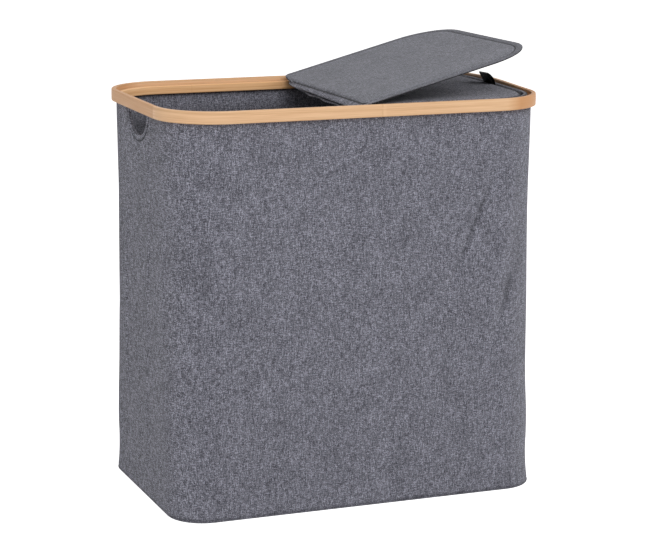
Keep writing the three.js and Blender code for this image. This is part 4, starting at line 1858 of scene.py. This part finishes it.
@dataclass
class Divider:
    """The cloth wall between the bins, with the binding over its top edge.

    Attributes:
        shape: The bag's outline.
        sway: How far the cloth wanders from its flat plane.
        binding_depth: How far the binding reaches down each face.
    """

    shape: BagShape
    sway: float = 2.2 * MM
    binding_depth: float = 12.5 * MM

    def offset(self, y: float, z: float) -> float:
        """How far the cloth lies from the middle plane.

        Args:
            y: Along the divider.
            z: Up the divider.

        Returns:
            The distance towards +X.
        """
        free = ease(z, 10 * MM, 90 * MM) * (1 - ease(abs(y), 120 * MM, 160 * MM))
        return float(free) * self.sway * (
            smooth_noise((y, 0, z * 0.6), 95 * MM, 4.2) + 0.3 * smooth_noise((y, 0, z), 30 * MM)
        )

    def build(self, wardrobe: Wardrobe) -> None:
        """Makes the divider and its binding.

        Args:
            wardrobe: The finishes.
        """
        low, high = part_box("divider_panel")
        heights = np.linspace(low.z, high.z, 100)
        rows, flat = [], []
        for height in heights:
            _, reach, _ = self.shape.at(height, self.shape.cloth + 0.3 * MM + self.shape.turn_in(height))
            ys = np.linspace(-reach, reach, 68)
            rows.append([(self.offset(y, height), y, height) for y in ys])
            flat.append([(y, height) for y in ys])
        cloth = thicken(grid(np.array(rows), np.array(flat)).piece("divider_cloth"), high.x - low.x, 0.0)
        settle(cloth, Body.HAMPER, wardrobe.bag, ["divider_panel"])
        self.binding(wardrobe, high)

    def binding(self, wardrobe: Wardrobe, high: Vector) -> None:
        """Makes the binding and its stitches.

        Args:
            wardrobe: The finishes.
            high: The divider's highest corner.
        """
        box_low, box_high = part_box("divider_binding")
        half = box_high.x - 0.5 * MM
        turn = 1.3 * MM
        section = [
            (-half, high.z - self.binding_depth + 1.5 * MM),
            (-half, high.z - 5 * MM),
            (-half, box_high.z - turn),
        ]
        section += [(-half + turn * (1 - math.cos(a)), box_high.z - turn + turn * math.sin(a))
                    for a in np.linspace(0.4, QUARTER_TURN, 4)]
        section += [(-x, z) for x, z in reversed(section)]
        ys = np.linspace(box_low.y + 0.2 * MM, box_high.y - 0.2 * MM, 68)
        rows = [[(x + self.offset(y, min(z, high.z)), y, z) for y in ys] for x, z in section]
        flat = [[(y, z + x) for y in ys] for x, z in section]
        piece = thicken(grid(np.array(rows), np.array(flat)).piece("divider_binding_tape"), 0.8 * MM, 0.0)
        settle(piece, Body.HAMPER, wardrobe.lid, ["divider_binding"])
        stitches = Stitching("divider_binding_stitches")
        level = box_low.z + 3 * MM
        for side in Side:
            line = [Vector((self.offset(y, level) + side.value * (half + 0.5 * MM), y, level)) for y in ys]
            stitches.follow(line, [Vector((side.value, 0, 0))] * len(line), closed=False)
        settle(stitches.build(), Body.HAMPER, wardrobe.thread)


# Lid


@dataclass
class LidHalf:
    """One half of the lid: a board between a cover and a lining that are sewn together round it.

    Attributes:
        side: Which half.
        margin: From the free edges to the stitch line.
        hinge_margin: From the hinge edge to the stitch line.
        free_corner: Corner radius at the free end.
        hinge_corner: Corner radius at the hinge.
        back_corner: How far along the hinge its back corner's curve reaches.
        back_cut: How straight that curve is: 1 is an ellipse, 2 a straight line.
        rise: How far the middle of its free end is bent up.
        cloth: Thickness of the cover and of the lining.
        end_trim: How much shorter the sewn half is than the frame's.
        side_trim: How much nearer its long edges lie.
        skew: How far the folded half lies askew, in degrees.
        hinge_dip: How far the lining sinks towards the hinge seam.
        left_near: The left half's hinge edge lies this far past the middle.
        groove_depth: How deep the stitches pull the cloth in.
        groove_width: Half the width of the groove that they make.
        curl: How far the margin's edge curls up.
    """

    side: Side
    margin: float = 10.5 * MM
    hinge_margin: float = 2.4 * MM
    free_corner: float = 71 * MM
    hinge_corner: float = 18 * MM
    back_corner: float = 68 * MM
    back_cut: float = 1.6
    rise: float = 0.0
    cloth: float = 0.8 * MM
    end_trim: float = 2.0 * MM
    side_trim: float = 1.2 * MM
    skew: float = 0.5
    hinge_dip: float = 1.8 * MM
    left_near: float = -3.1 * MM
    groove_depth: float = 1.3 * MM
    groove_width: float = 1.6 * MM
    curl: float = 0.0

    def __post_init__(self) -> None:
        """Takes the half's sizes from the frame's right half, and the fold's axis and swing from the frame's
        joints.
        """
        low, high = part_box("lid_right_top_cover")
        lining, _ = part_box("lid_right_lining")
        self.far, self.half_depth, self.top = high
        self.far -= self.end_trim
        self.half_depth -= self.side_trim
        self.bottom = lining.z
        fold = next(joint for joint in frame["joints"] if joint["name"] == "left_lid_fold")
        self.axis = Vector(fold["pos_m"])
        self.swing = math.radians(fold["range_deg"][1])
        self.near = low.x if self.side is Side.RIGHT else self.left_near

    @property
    def body(self) -> Body:
        """The body that the half rides on."""
        return Body.LID_RIGHT if self.side is Side.RIGHT else Body.LID_LEFT

    @property
    def placing(self) -> Matrix:
        """From the half lying closed to the half as it stands: the left one is folded over."""
        if self.side is Side.RIGHT:
            return Matrix.Identity(4)
        centre = Matrix.Translation(self.axis)
        askew = Matrix.Rotation(math.radians(self.skew), 4, "Z")
        return centre @ askew @ Matrix.Rotation(self.swing, 4, "Y") @ centre.inverted()

    def hinge_inset(self, inset: float) -> float:
        """How far a line that lies inset from the free edges lies from the hinge edge."""
        free = (0, 1.2 * MM, self.margin - 2.2 * MM, self.margin, self.margin + 6 * MM, self.margin + 14 * MM)
        hinge = (
            0, 0.2 * MM, 0.7 * MM,
            self.hinge_margin, self.hinge_margin + 5.6 * MM, self.hinge_margin + 13 * MM,
        )
        return float(np.interp(inset, free, hinge))

    def outline(self, inset: float) -> np.ndarray:
        """The half's outline, drawn in by an inset.

        Args:
            inset: From the free edges.

        Returns:
            X and Y of each point, counterclockwise for the right half.
        """
        near, far = self.near + self.hinge_inset(inset), self.far - inset
        y = self.half_depth - inset
        outer = self.free_corner - inset
        inner, back = (max(radius - inset, 1.5 * MM) for radius in (self.hinge_corner, self.back_corner))
        ring = np.concatenate([
            quarter_arc((far - outer, y - outer), outer, 0, 22),
            straight((far - outer, y), (near + inner, y), 44),
            np.abs(quarter_arc((0, 0), 1, QUARTER_TURN, 10)) ** self.back_cut * (-inner, back)
            + (near + inner, y - back),
            straight((near, y - back), (near, inner - y), 70),
            quarter_arc((near + inner, inner - y), inner, HALF_TURN, 10),
            straight((near + inner, -y), (far - outer, -y), 44),
            quarter_arc((far - outer, outer - y), outer, 3 * QUARTER_TURN, 22),
            straight((far, outer - y), (far, y - outer), 46),
        ])
        return ring * (self.side.value, 1)

    def sections(self, upper: bool) -> list[tuple[float, float]]:
        """The cloth's section from the edge inwards.

        Args:
            upper: Whether it is the cover's, which climbs onto the board, or the lining's.

        Returns:
            The inset and height of each ring.
        """
        middle = self.bottom + 1.5 * MM
        margin_top = self.bottom + 3 * MM
        face = self.top if upper else self.bottom
        edge = margin_top if upper else self.bottom + 0.4 * MM
        sign = 1 if upper else -1
        insets = np.array([
            0.05, 0.2, 0.5, 1.2, 2.5, 4.5, 6.5, 8.0, 8.8, 9.4,
            10.0, 10.5, 11.0, 11.6, 12.2, 13.0, 14.0, 16.0, 19.0, 23.0,
        ])
        rings = [(0.5 * MM, middle), (0.1 * MM, middle + sign * 0.3 * MM)]
        for inset in insets * MM:
            if inset < 1.2 * MM:
                round_share = math.sqrt(1 - (1 - inset / (1.2 * MM)) ** 2)
                height = middle + (edge - middle) * max(round_share, 0.3)
            else:
                puff = math.sin(HALF_TURN * np.clip((inset - 1.2 * MM) / (self.margin - 1.2 * MM), 0, 1))
                climb = ease(inset, self.margin + 0.3 * MM, self.margin + 4 * MM)
                groove = self.groove_depth * bell(inset - self.margin, self.groove_width)
                height = edge + (face - edge) * climb + sign * ((0.3 if upper else 0.05) * MM * puff - groove)
            rings.append((float(inset), float(height)))
        return rings

    def shell(self, upper: bool) -> Surface:
        """The cover or the lining as it lies with the half closed.

        Args:
            upper: Whether it is the cover.

        Returns:
            Its surface, looking up for the cover and down for the lining.
        """
        rings = self.sections(upper)
        rows = np.array([
            at_height(self.outline(inset), height) for inset, height in rings
        ])
        flat = np.concatenate([rows[..., :2], rows[:, :1, :2]], axis=1)
        surface = grid(rows, flat)
        insets = np.repeat([inset for inset, _ in rings], rows.shape[1])
        surface.shade = self.shading(surface.vertices, insets, upper)
        surface.vertices[:, 2] += self.curled(surface.vertices, insets)
        last = rows[-1]
        step = 7 * MM
        low, high = last[:, :2].min(axis=0), last[:, :2].max(axis=0)
        seeds = np.array([
            (x, y)
            for x in np.arange(low[0] + step, high[0], step)
            for y in np.arange(low[1] + step, high[1], step)
        ])
        off = np.array([np.min(np.linalg.norm(last[:, :2] - p, axis=1)) for p in seeds])
        inside = self.contains(last[:, :2], seeds)
        loop = last[:, :2] if self.side is Side.RIGHT else last[::-1, :2]
        points, triangles = fill(loop, [], seeds[inside & (off > 0.6 * step)], lambda centre: True)
        middle = Surface(
            np.column_stack([points, rings[-1][1] + self.raised(points)]),
            triangles,
            np.array([points[index] for face in triangles for index in face]),
        )
        if self.side is Side.LEFT:
            surface = surface.flipped()
        surface = surface.joined(middle)
        return self.rumpled(surface, upper) if upper else self.rumpled(surface, upper).flipped()

    def from_hinge(self, points: np.ndarray) -> np.ndarray:
        """How far points of the closed half lie from its hinge edge."""
        return self.side.value * points[..., 0] - self.near

    def shading(self, points: np.ndarray, insets: np.ndarray, upper: bool) -> np.ndarray:
        """The painted shade on the cloth: in the stitch groove, in a band along the cover's free edges, and
        over the lining's margin at the free end.

        Args:
            points: The vertices of the closed half.
            insets: How far inside the free edges they lie.
            upper: Whether they are the cover's.

        Returns:
            One shade a vertex.
        """
        groove = bell(insets - self.margin, (1.3 if upper else 0.9) * self.groove_width)
        if upper:
            # Painted shadow along the free edges, for the dark gap beside the rim.
            edge = (
                0.95 * (1 - ease(insets, 1.6 * MM, 2.8 * MM))
                * ease(self.from_hinge(points), 4 * MM, 12 * MM)
            )
            return np.maximum(groove, edge)
        y = points[:, 1]
        # Painted shade over the sloping margin at the free end.
        margin = (
            0.26 * (1 - ease(insets, self.margin - 2 * MM, self.margin))
            * ease(self.from_hinge(points), 10 * MM, 40 * MM)
        )
        shown = ease(y, -150 * MM, -90 * MM) * (
            1 - 0.75 * ease(y, 95 * MM, 130 * MM)
            * (1 - ease(self.from_hinge(points), 30 * MM, 60 * MM))
        )
        return np.maximum(groove * shown, margin)

    def curled(self, points: np.ndarray, insets: np.ndarray) -> np.ndarray:
        """How far the margin curls up past the stitches, except at the hinge."""
        free = ease(self.from_hinge(points), 15 * MM, 60 * MM)
        return self.curl * free * (1 - ease(insets, 0, self.margin)) + self.raised(points)

    def set_back(self, y: float) -> float:
        """How far the corners set the hinge edge back at a place along it."""
        reach, cut = (self.back_corner, self.back_cut) if y > 0 else (self.hinge_corner, 1.0)
        beyond = min(max(0.0, abs(y) - (self.half_depth - reach)) / reach, 1.0)
        return self.hinge_corner * (1 - math.cos(math.asin(beyond ** (1 / cut))) ** cut)

    def raised(self, points: np.ndarray) -> np.ndarray:
        """How far the bent free end lifts each of the closed half's points."""
        return (
            self.rise * bell(points[:, 1] - RISE_MIDDLE, RISE_REACH)
            * ease(self.from_hinge(points), 140 * MM, 255 * MM)
        )

    @staticmethod
    def contains(loop: np.ndarray, points: np.ndarray) -> np.ndarray:
        """Which points lie inside a loop.

        Args:
            loop: The loop's X and Y.
            points: The points to test.

        Returns:
            One truth value a point.
        """
        ahead = np.roll(loop, -1, axis=0)
        x, y = points[:, :1], points[:, 1:]
        crosses = (loop[:, 1] > y) != (ahead[:, 1] > y)
        slope = (ahead[:, 0] - loop[:, 0]) / np.where(ahead[:, 1] == loop[:, 1], 1, ahead[:, 1] - loop[:, 1])
        return np.sum(crosses & (x < loop[:, 0] + slope * (y - loop[:, 1])), axis=1) % 2 == 1

    def rumpled(self, surface: Surface, upper: bool) -> Surface:
        """Lets the cloth over the board swell and wander a little.

        Args:
            surface: The cover or the lining.
            upper: Whether it is the cover.

        Returns:
            The same surface.
        """
        points = surface.vertices
        inside = np.minimum(self.half_depth - np.abs(points[:, 1]), self.far - np.abs(points[:, 0]))
        free = ease(inside, 12 * MM, 40 * MM)
        seed = 2.7 if upper else 8.1
        swell = np.array([smooth_noise((p[0], p[1], 0), 85 * MM, seed) for p in points]) * 0.45 * MM
        fine = np.array([smooth_noise((p[0], p[1], 0), 17 * MM, seed) for p in points]) * 0.08 * MM
        rise = (0.3 * MM + swell) * free + fine
        dip = 0 if upper else self.hinge_dip * (1 - ease(self.from_hinge(points), 1.5 * MM, 8 * MM))
        points[:, 2] += rise if upper else dip - np.maximum(rise, 0)
        return surface

    def build(self, wardrobe: Wardrobe) -> None:
        """Makes the cover, the lining and the stitches through both.

        Args:
            wardrobe: The finishes.
        """
        word = self.side.word
        stitches = Stitching(f"lid_{word}_stitches")
        turn = self.placing.to_3x3()
        for upper, name, finish in ((True, "top_cover", wardrobe.lid), (False, "lining", wardrobe.lining)):
            surface = self.shell(upper).turned(self.placing)
            piece = thicken(surface.piece(f"lid_{word}_{name}_cloth"), self.cloth * 0.85)
            settle(piece, self.body, finish, [f"lid_{word}_{name}"])
            height = min(self.sections(upper), key=lambda ring: abs(ring[0] - self.margin))[1]
            up = Vector((0, 0, 1 if upper else -1))
            line = []
            for place in self.outline(self.margin):
                dip = 0 if upper else self.hinge_dip * (
                    1 - float(ease(self.from_hinge(place), 1.5 * MM, 8 * MM))
                )
                line.append(self.placing @ (Vector((*place, height + dip)) + up * 0.15 * MM))
            stitches.follow(line, [turn @ up] * len(line))
        self.tucks(stitches)
        settle(stitches.build(), self.body, wardrobe.thread)
        self.board(wardrobe.board)

    def tucks(self, stitches: Stitching) -> None:
        """Adds the threads that cross the cover's margin between the stitches, except at the hinge.

        Args:
            stitches: The half's stitches.
        """
        height = self.bottom + 3.4 * MM
        insets = self.margin - 0.8 * MM, self.margin - 6.8 * MM
        inner, outer = (self.outline(inset) for inset in insets)
        run = np.concatenate([[0], np.cumsum(np.linalg.norm(np.diff(inner, axis=0), axis=1))])
        up = self.placing.to_3x3() @ Vector((0, 0, 1))
        for place in np.arange(0, run[-1], stitches.pitch):
            ends = []
            for line, inset in zip((inner, outer), insets):
                point = np.array([[np.interp(place, run, line[:, k]) for k in range(2)]])
                ends.append(Vector((*point[0], height + float(self.curled(point, np.array([inset]))[0]))))
            if self.from_hinge(np.array(ends[0])) > 16 * MM:
                stitches.stitch(self.placing @ ends[0], self.placing @ ends[1], up)

    def board(self, finish: bpy.types.Material) -> None:
        """Makes the board inside, with slightly rounded edges.

        Args:
            finish: Its hardboard.
        """
        low, high = self.bottom + self.cloth + 0.1 * MM, self.top - self.cloth - 0.1 * MM
        inset, edge = self.margin + 3 * MM, 0.5 * MM
        section = [(8 * MM, low), (edge, low), (0.15 * MM, low + 0.15 * MM), (0, low + edge)]
        section += [(depth, low + high - height) for depth, height in reversed(section)]
        rows = np.array([
            at_height(self.outline(inset + depth), height) for depth, height in section
        ])
        flat = np.concatenate([rows[..., :2], rows[:, :1, :2]], axis=1)
        rows[..., 2] += self.raised(rows.reshape(-1, 3)).reshape(rows.shape[:2])
        shell = grid(rows, flat)
        count = rows.shape[1]
        for start, order in ((0, -1), ((len(section) - 1) * count, 1)):
            shell.faces.append(tuple(range(start, start + count))[::order])
            shell.flat = np.vstack([shell.flat, rows[0 if start == 0 else -1, ::order, :2]])
        if self.side is Side.LEFT:
            shell = shell.flipped()
        piece = shell.turned(self.placing).piece(f"lid_{self.side.word}_hardboard")
        settle(piece, self.body, finish, [f"lid_{self.side.word}_board"])


@dataclass
class HingeCloth:
    """The loose cloth between the lid's halves, which hangs in two folds under the seam.

    Attributes:
        right: The right half.
        left: The left half.
        thickness: The cloth's thickness.
        end: How far before the halves' long edges it ends.
        steps: Points across it.
    """

    right: LidHalf
    left: LidHalf
    thickness: float = 0.9 * MM
    end: float = 17 * MM
    steps: int = 64

    def section(self, y: float) -> list[tuple[float, float]]:
        """The cloth's section at a place along the seam.

        Args:
            y: The place.

        Returns:
            X and Z of each point, from the left half's edge round below to the right half's.
        """
        reach = self.right.half_depth - self.end
        slack = 1 - ease(abs(y), reach - 26 * MM, reach)
        across = y / reach
        waves = smooth_noise((0, y, 0), 42 * MM, 1.1), smooth_noise((0, y, 0), 38 * MM, 6.3)
        first = (3.6 - 2.2 * across + 0.5 * waves[0]) * MM * slack
        second = (8.3 - 5.2 * across + 2.2 * waves[1]) * MM * slack
        edge = self.left.placing @ Vector(
            (-self.left.near, 0, self.left.bottom + self.left.hinge_dip + 0.6 * MM)
        )
        seam = self.right.bottom + 1.6 * MM
        crease = seam - 2.6 * MM * slack
        belly, flare = 4.0 * MM * slack, (2.8 + 1.8 * waves[1]) * MM * slack
        left, near = edge.x + self.left.set_back(y), self.right.near + self.right.set_back(y)
        return [
            (left + 1.2 * MM, edge.z - 0.1 * MM),
            (left - 0.1 * belly, edge.z - 0.6 * MM),
            (left - 0.55 * belly, edge.z - 1.9 * MM),
            (left - 0.9 * belly, edge.z - 3.6 * MM),
            (left - belly, seam - 0.72 * first),
            (left - 0.95 * belly, seam - 0.95 * first),
            (left - 0.75 * belly, seam - first),
            (left - 0.45 * belly, seam - 0.86 * first),
            (left - 0.15 * belly, crease - 0.3 * first),
            (left + 0.6 * MM, crease),
            (left + 1.5 * MM, crease - 0.3 * first),
            (left + 2.0 * MM, seam - 0.72 * second),
            (left + 2.0 * MM - 0.5 * flare, seam - 0.93 * second),
            (left + 1.8 * MM - flare, seam - 0.98 * second),
            (left + 2.2 * MM - 0.5 * flare, seam - 1.04 * second),
            (left + 4.6 * MM, seam - second),
            (left + 7.6 * MM, seam - 0.85 * second),
            (left + 10.6 * MM, seam - 0.55 * second),
            (near - 3.0 * MM, seam - 0.25 * second),
            (near - 1.0 * MM, seam - 0.08 * second),
            (near + 0.4 * MM, seam),
        ]

    def build(self, wardrobe: Wardrobe) -> None:
        """Makes the hinge cloth, shaped for the folded lid.

        Args:
            wardrobe: The finishes.
        """
        reach = self.right.half_depth - self.end
        ys = np.linspace(-reach, reach, 150)
        rows, shades = [], []
        for y in ys:
            line = np.array(self.section(float(y)))
            run = np.concatenate([[0], np.cumsum(np.linalg.norm(np.diff(line, axis=0), axis=1))])
            places = np.linspace(0, run[-1], self.steps)
            x, z = (np.interp(places, run, line[:, k]) for k in range(2))
            for _ in range(3):
                x[1:-1], z[1:-1] = (x[:-2] + 2 * x[1:-1] + x[2:]) / 4, (z[:-2] + 2 * z[1:-1] + z[2:]) / 4
            rows.append(np.column_stack([x, np.full(self.steps, y), z]))
            # Painted shade in the gap between the two folds, and towards the back end.
            deep = ease(places, run[5], run[6]) * (1 - ease(places, run[11], run[12]))
            shades.append(np.maximum(deep, 0.55 * ease(y, 95 * MM, 130 * MM)))
        rows = np.array(rows)
        steps = np.linalg.norm(np.diff(rows, axis=1), axis=2)
        across = np.concatenate([np.zeros((len(ys), 1)), np.cumsum(steps, axis=1)], axis=1)
        flat = np.stack([across, np.repeat(ys[:, None], self.steps, axis=1)], axis=2)
        surface = grid(rows, flat).flipped()
        surface.shade = np.concatenate(shades)
        piece = thicken(surface.piece("hinge_cloth"), self.thickness, 0.0)
        self.freeze(piece)
        piece.data.materials.append(wardrobe.hinge)
        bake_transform(piece)
        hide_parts("hinge_strip")
        log.info("%s bends between the lid's halves", piece.name)

    @staticmethod
    def freeze(piece: bpy.types.Object) -> None:
        """Turns a piece's modifiers into its mesh.

        Args:
            piece: The piece.
        """
        bpy.context.view_layer.update()
        shape = piece.evaluated_get(bpy.context.evaluated_depsgraph_get())
        mesh = bpy.data.meshes.new_from_object(shape)
        piece.modifiers.clear()
        piece.data = mesh


@dataclass
class PullTab:
    """A folded ribbon near the free edge of a lid half, which leans inwards.

    Attributes:
        half: The lid half that it is sewn to.
        width: The ribbon's width.
        height: How high its fold stands.
        lean: How far its fold leans inwards.
        bow: How far its sides bow out.
        gape: How far its two layers stand apart.
        off_centre: The place of its middle along Y.
    """

    half: LidHalf
    width: float = 30 * MM
    height: float = 20.5 * MM
    lean: float = 12 * MM
    bow: float = 2.0 * MM
    gape: float = 1.3 * MM
    off_centre: float = -7 * MM

    def build(self, wardrobe: Wardrobe) -> None:
        """Makes the tab.

        Args:
            wardrobe: The finishes.
        """
        side = self.half.side.value
        foot = Vector((side * (self.half.far - self.half.margin + 0.6 * MM), self.half.bottom + 2.6 * MM))
        lean = Vector((-side * self.lean, self.height))
        across = Vector((lean.y, -lean.x)).normalized() * side
        steps = 14
        ys = np.linspace(-self.width / 2, self.width / 2, 26)
        rows = []
        for y in ys:
            share_y = y / self.width
            section = []
            for sign in (1, -1):
                run = []
                for i in range(steps + 1):
                    share = i / steps
                    swell = math.sin(HALF_TURN * share)
                    gap = sign * (0.4 * MM + self.gape * swell ** 0.7 * (1 - 0.4 * share_y))
                    bow = self.bow * swell * (1 if sign > 0 else 0.5) + gap + 1.2 * MM * share * share_y
                    grown = 1 - 0.10 * (share_y + 0.5) * share
                    run.append(foot + lean * (share * grown) + across * bow)
                section += run if sign > 0 else run[::-1]
            rows.append([(p.x, self.off_centre + y + 0.8 * MM * math.sin(3 * share_y), p.y) for p in section])
        rows = np.array(rows)
        steps_along = np.linalg.norm(np.diff(rows, axis=1), axis=2)
        run = np.concatenate([np.zeros((len(ys), 1)), np.cumsum(steps_along, axis=1)], axis=1)
        flat = np.stack([np.repeat(ys[:, None], rows.shape[1], axis=1), run], axis=2)
        surface = grid(rows, flat)
        if self.half.side is Side.LEFT:
            surface = surface.flipped()
        piece = surface.turned(self.half.placing).piece(f"ribbon_tab_{self.half.side.word}")
        thicken(piece, 0.6 * MM, 0.0)
        settle(piece, self.half.body, wardrobe.ribbon, [f"pull_tab_{self.half.side.word}"])


@dataclass
class Lid:
    """The lid: two halves, the cloth between them and a ribbon tab on each."""

    right: LidHalf = field(
        default_factory=lambda: LidHalf(Side.RIGHT, free_corner=80 * MM, curl=2.0 * MM, rise=2.0 * MM)
    )
    left: LidHalf = field(
        default_factory=lambda: LidHalf(Side.LEFT, end_trim=4.2 * MM, side_trim=2.0 * MM)
    )

    def build(self, wardrobe: Wardrobe) -> None:
        """Makes the lid's pieces.

        Args:
            wardrobe: The finishes.
        """
        for half in (self.right, self.left):
            half.build(wardrobe)
            PullTab(half).build(wardrobe)
        HingeCloth(self.right, self.left).build(wardrobe)


@dataclass
class StiffParts:
    """The frame's own meshes that stay: boards, rods and caps."""

    def build(self, wardrobe: Wardrobe) -> None:
        """Gives each its finish.

        Args:
            wardrobe: The finishes.
        """
        finishes = (
            ("board", wardrobe.board, Slot.HARDBOARD),
            ("support_rod", wardrobe.steel, Slot.STEEL),
            ("rod_foot", wardrobe.plastic, Slot.PLASTIC),
            ("rod_tip", wardrobe.plastic, Slot.PLASTIC),
        )
        for name, node in frame["nodes"].items():
            for word, finish, slot in finishes:
                if word in name and not node.hide_render:
                    node.data.materials.clear()
                    node.data.materials.append(finish)
                    log.info("%s keeps the frame's mesh", name)


def main() -> None:
    """Builds the studio and the hamper's sub-assemblies, from the outside in."""
    logging.basicConfig(level=logging.INFO, format="%(name)s: %(message)s")
    Studio().build()
    wardrobe = Wardrobe()
    Rim().build(wardrobe)
    bag = Bag()
    bag.build(wardrobe)
    Divider(bag.shape).build(wardrobe)
    Lid().build(wardrobe)
    StiffParts().build(wardrobe)


if __name__ == "__main__":
    main()
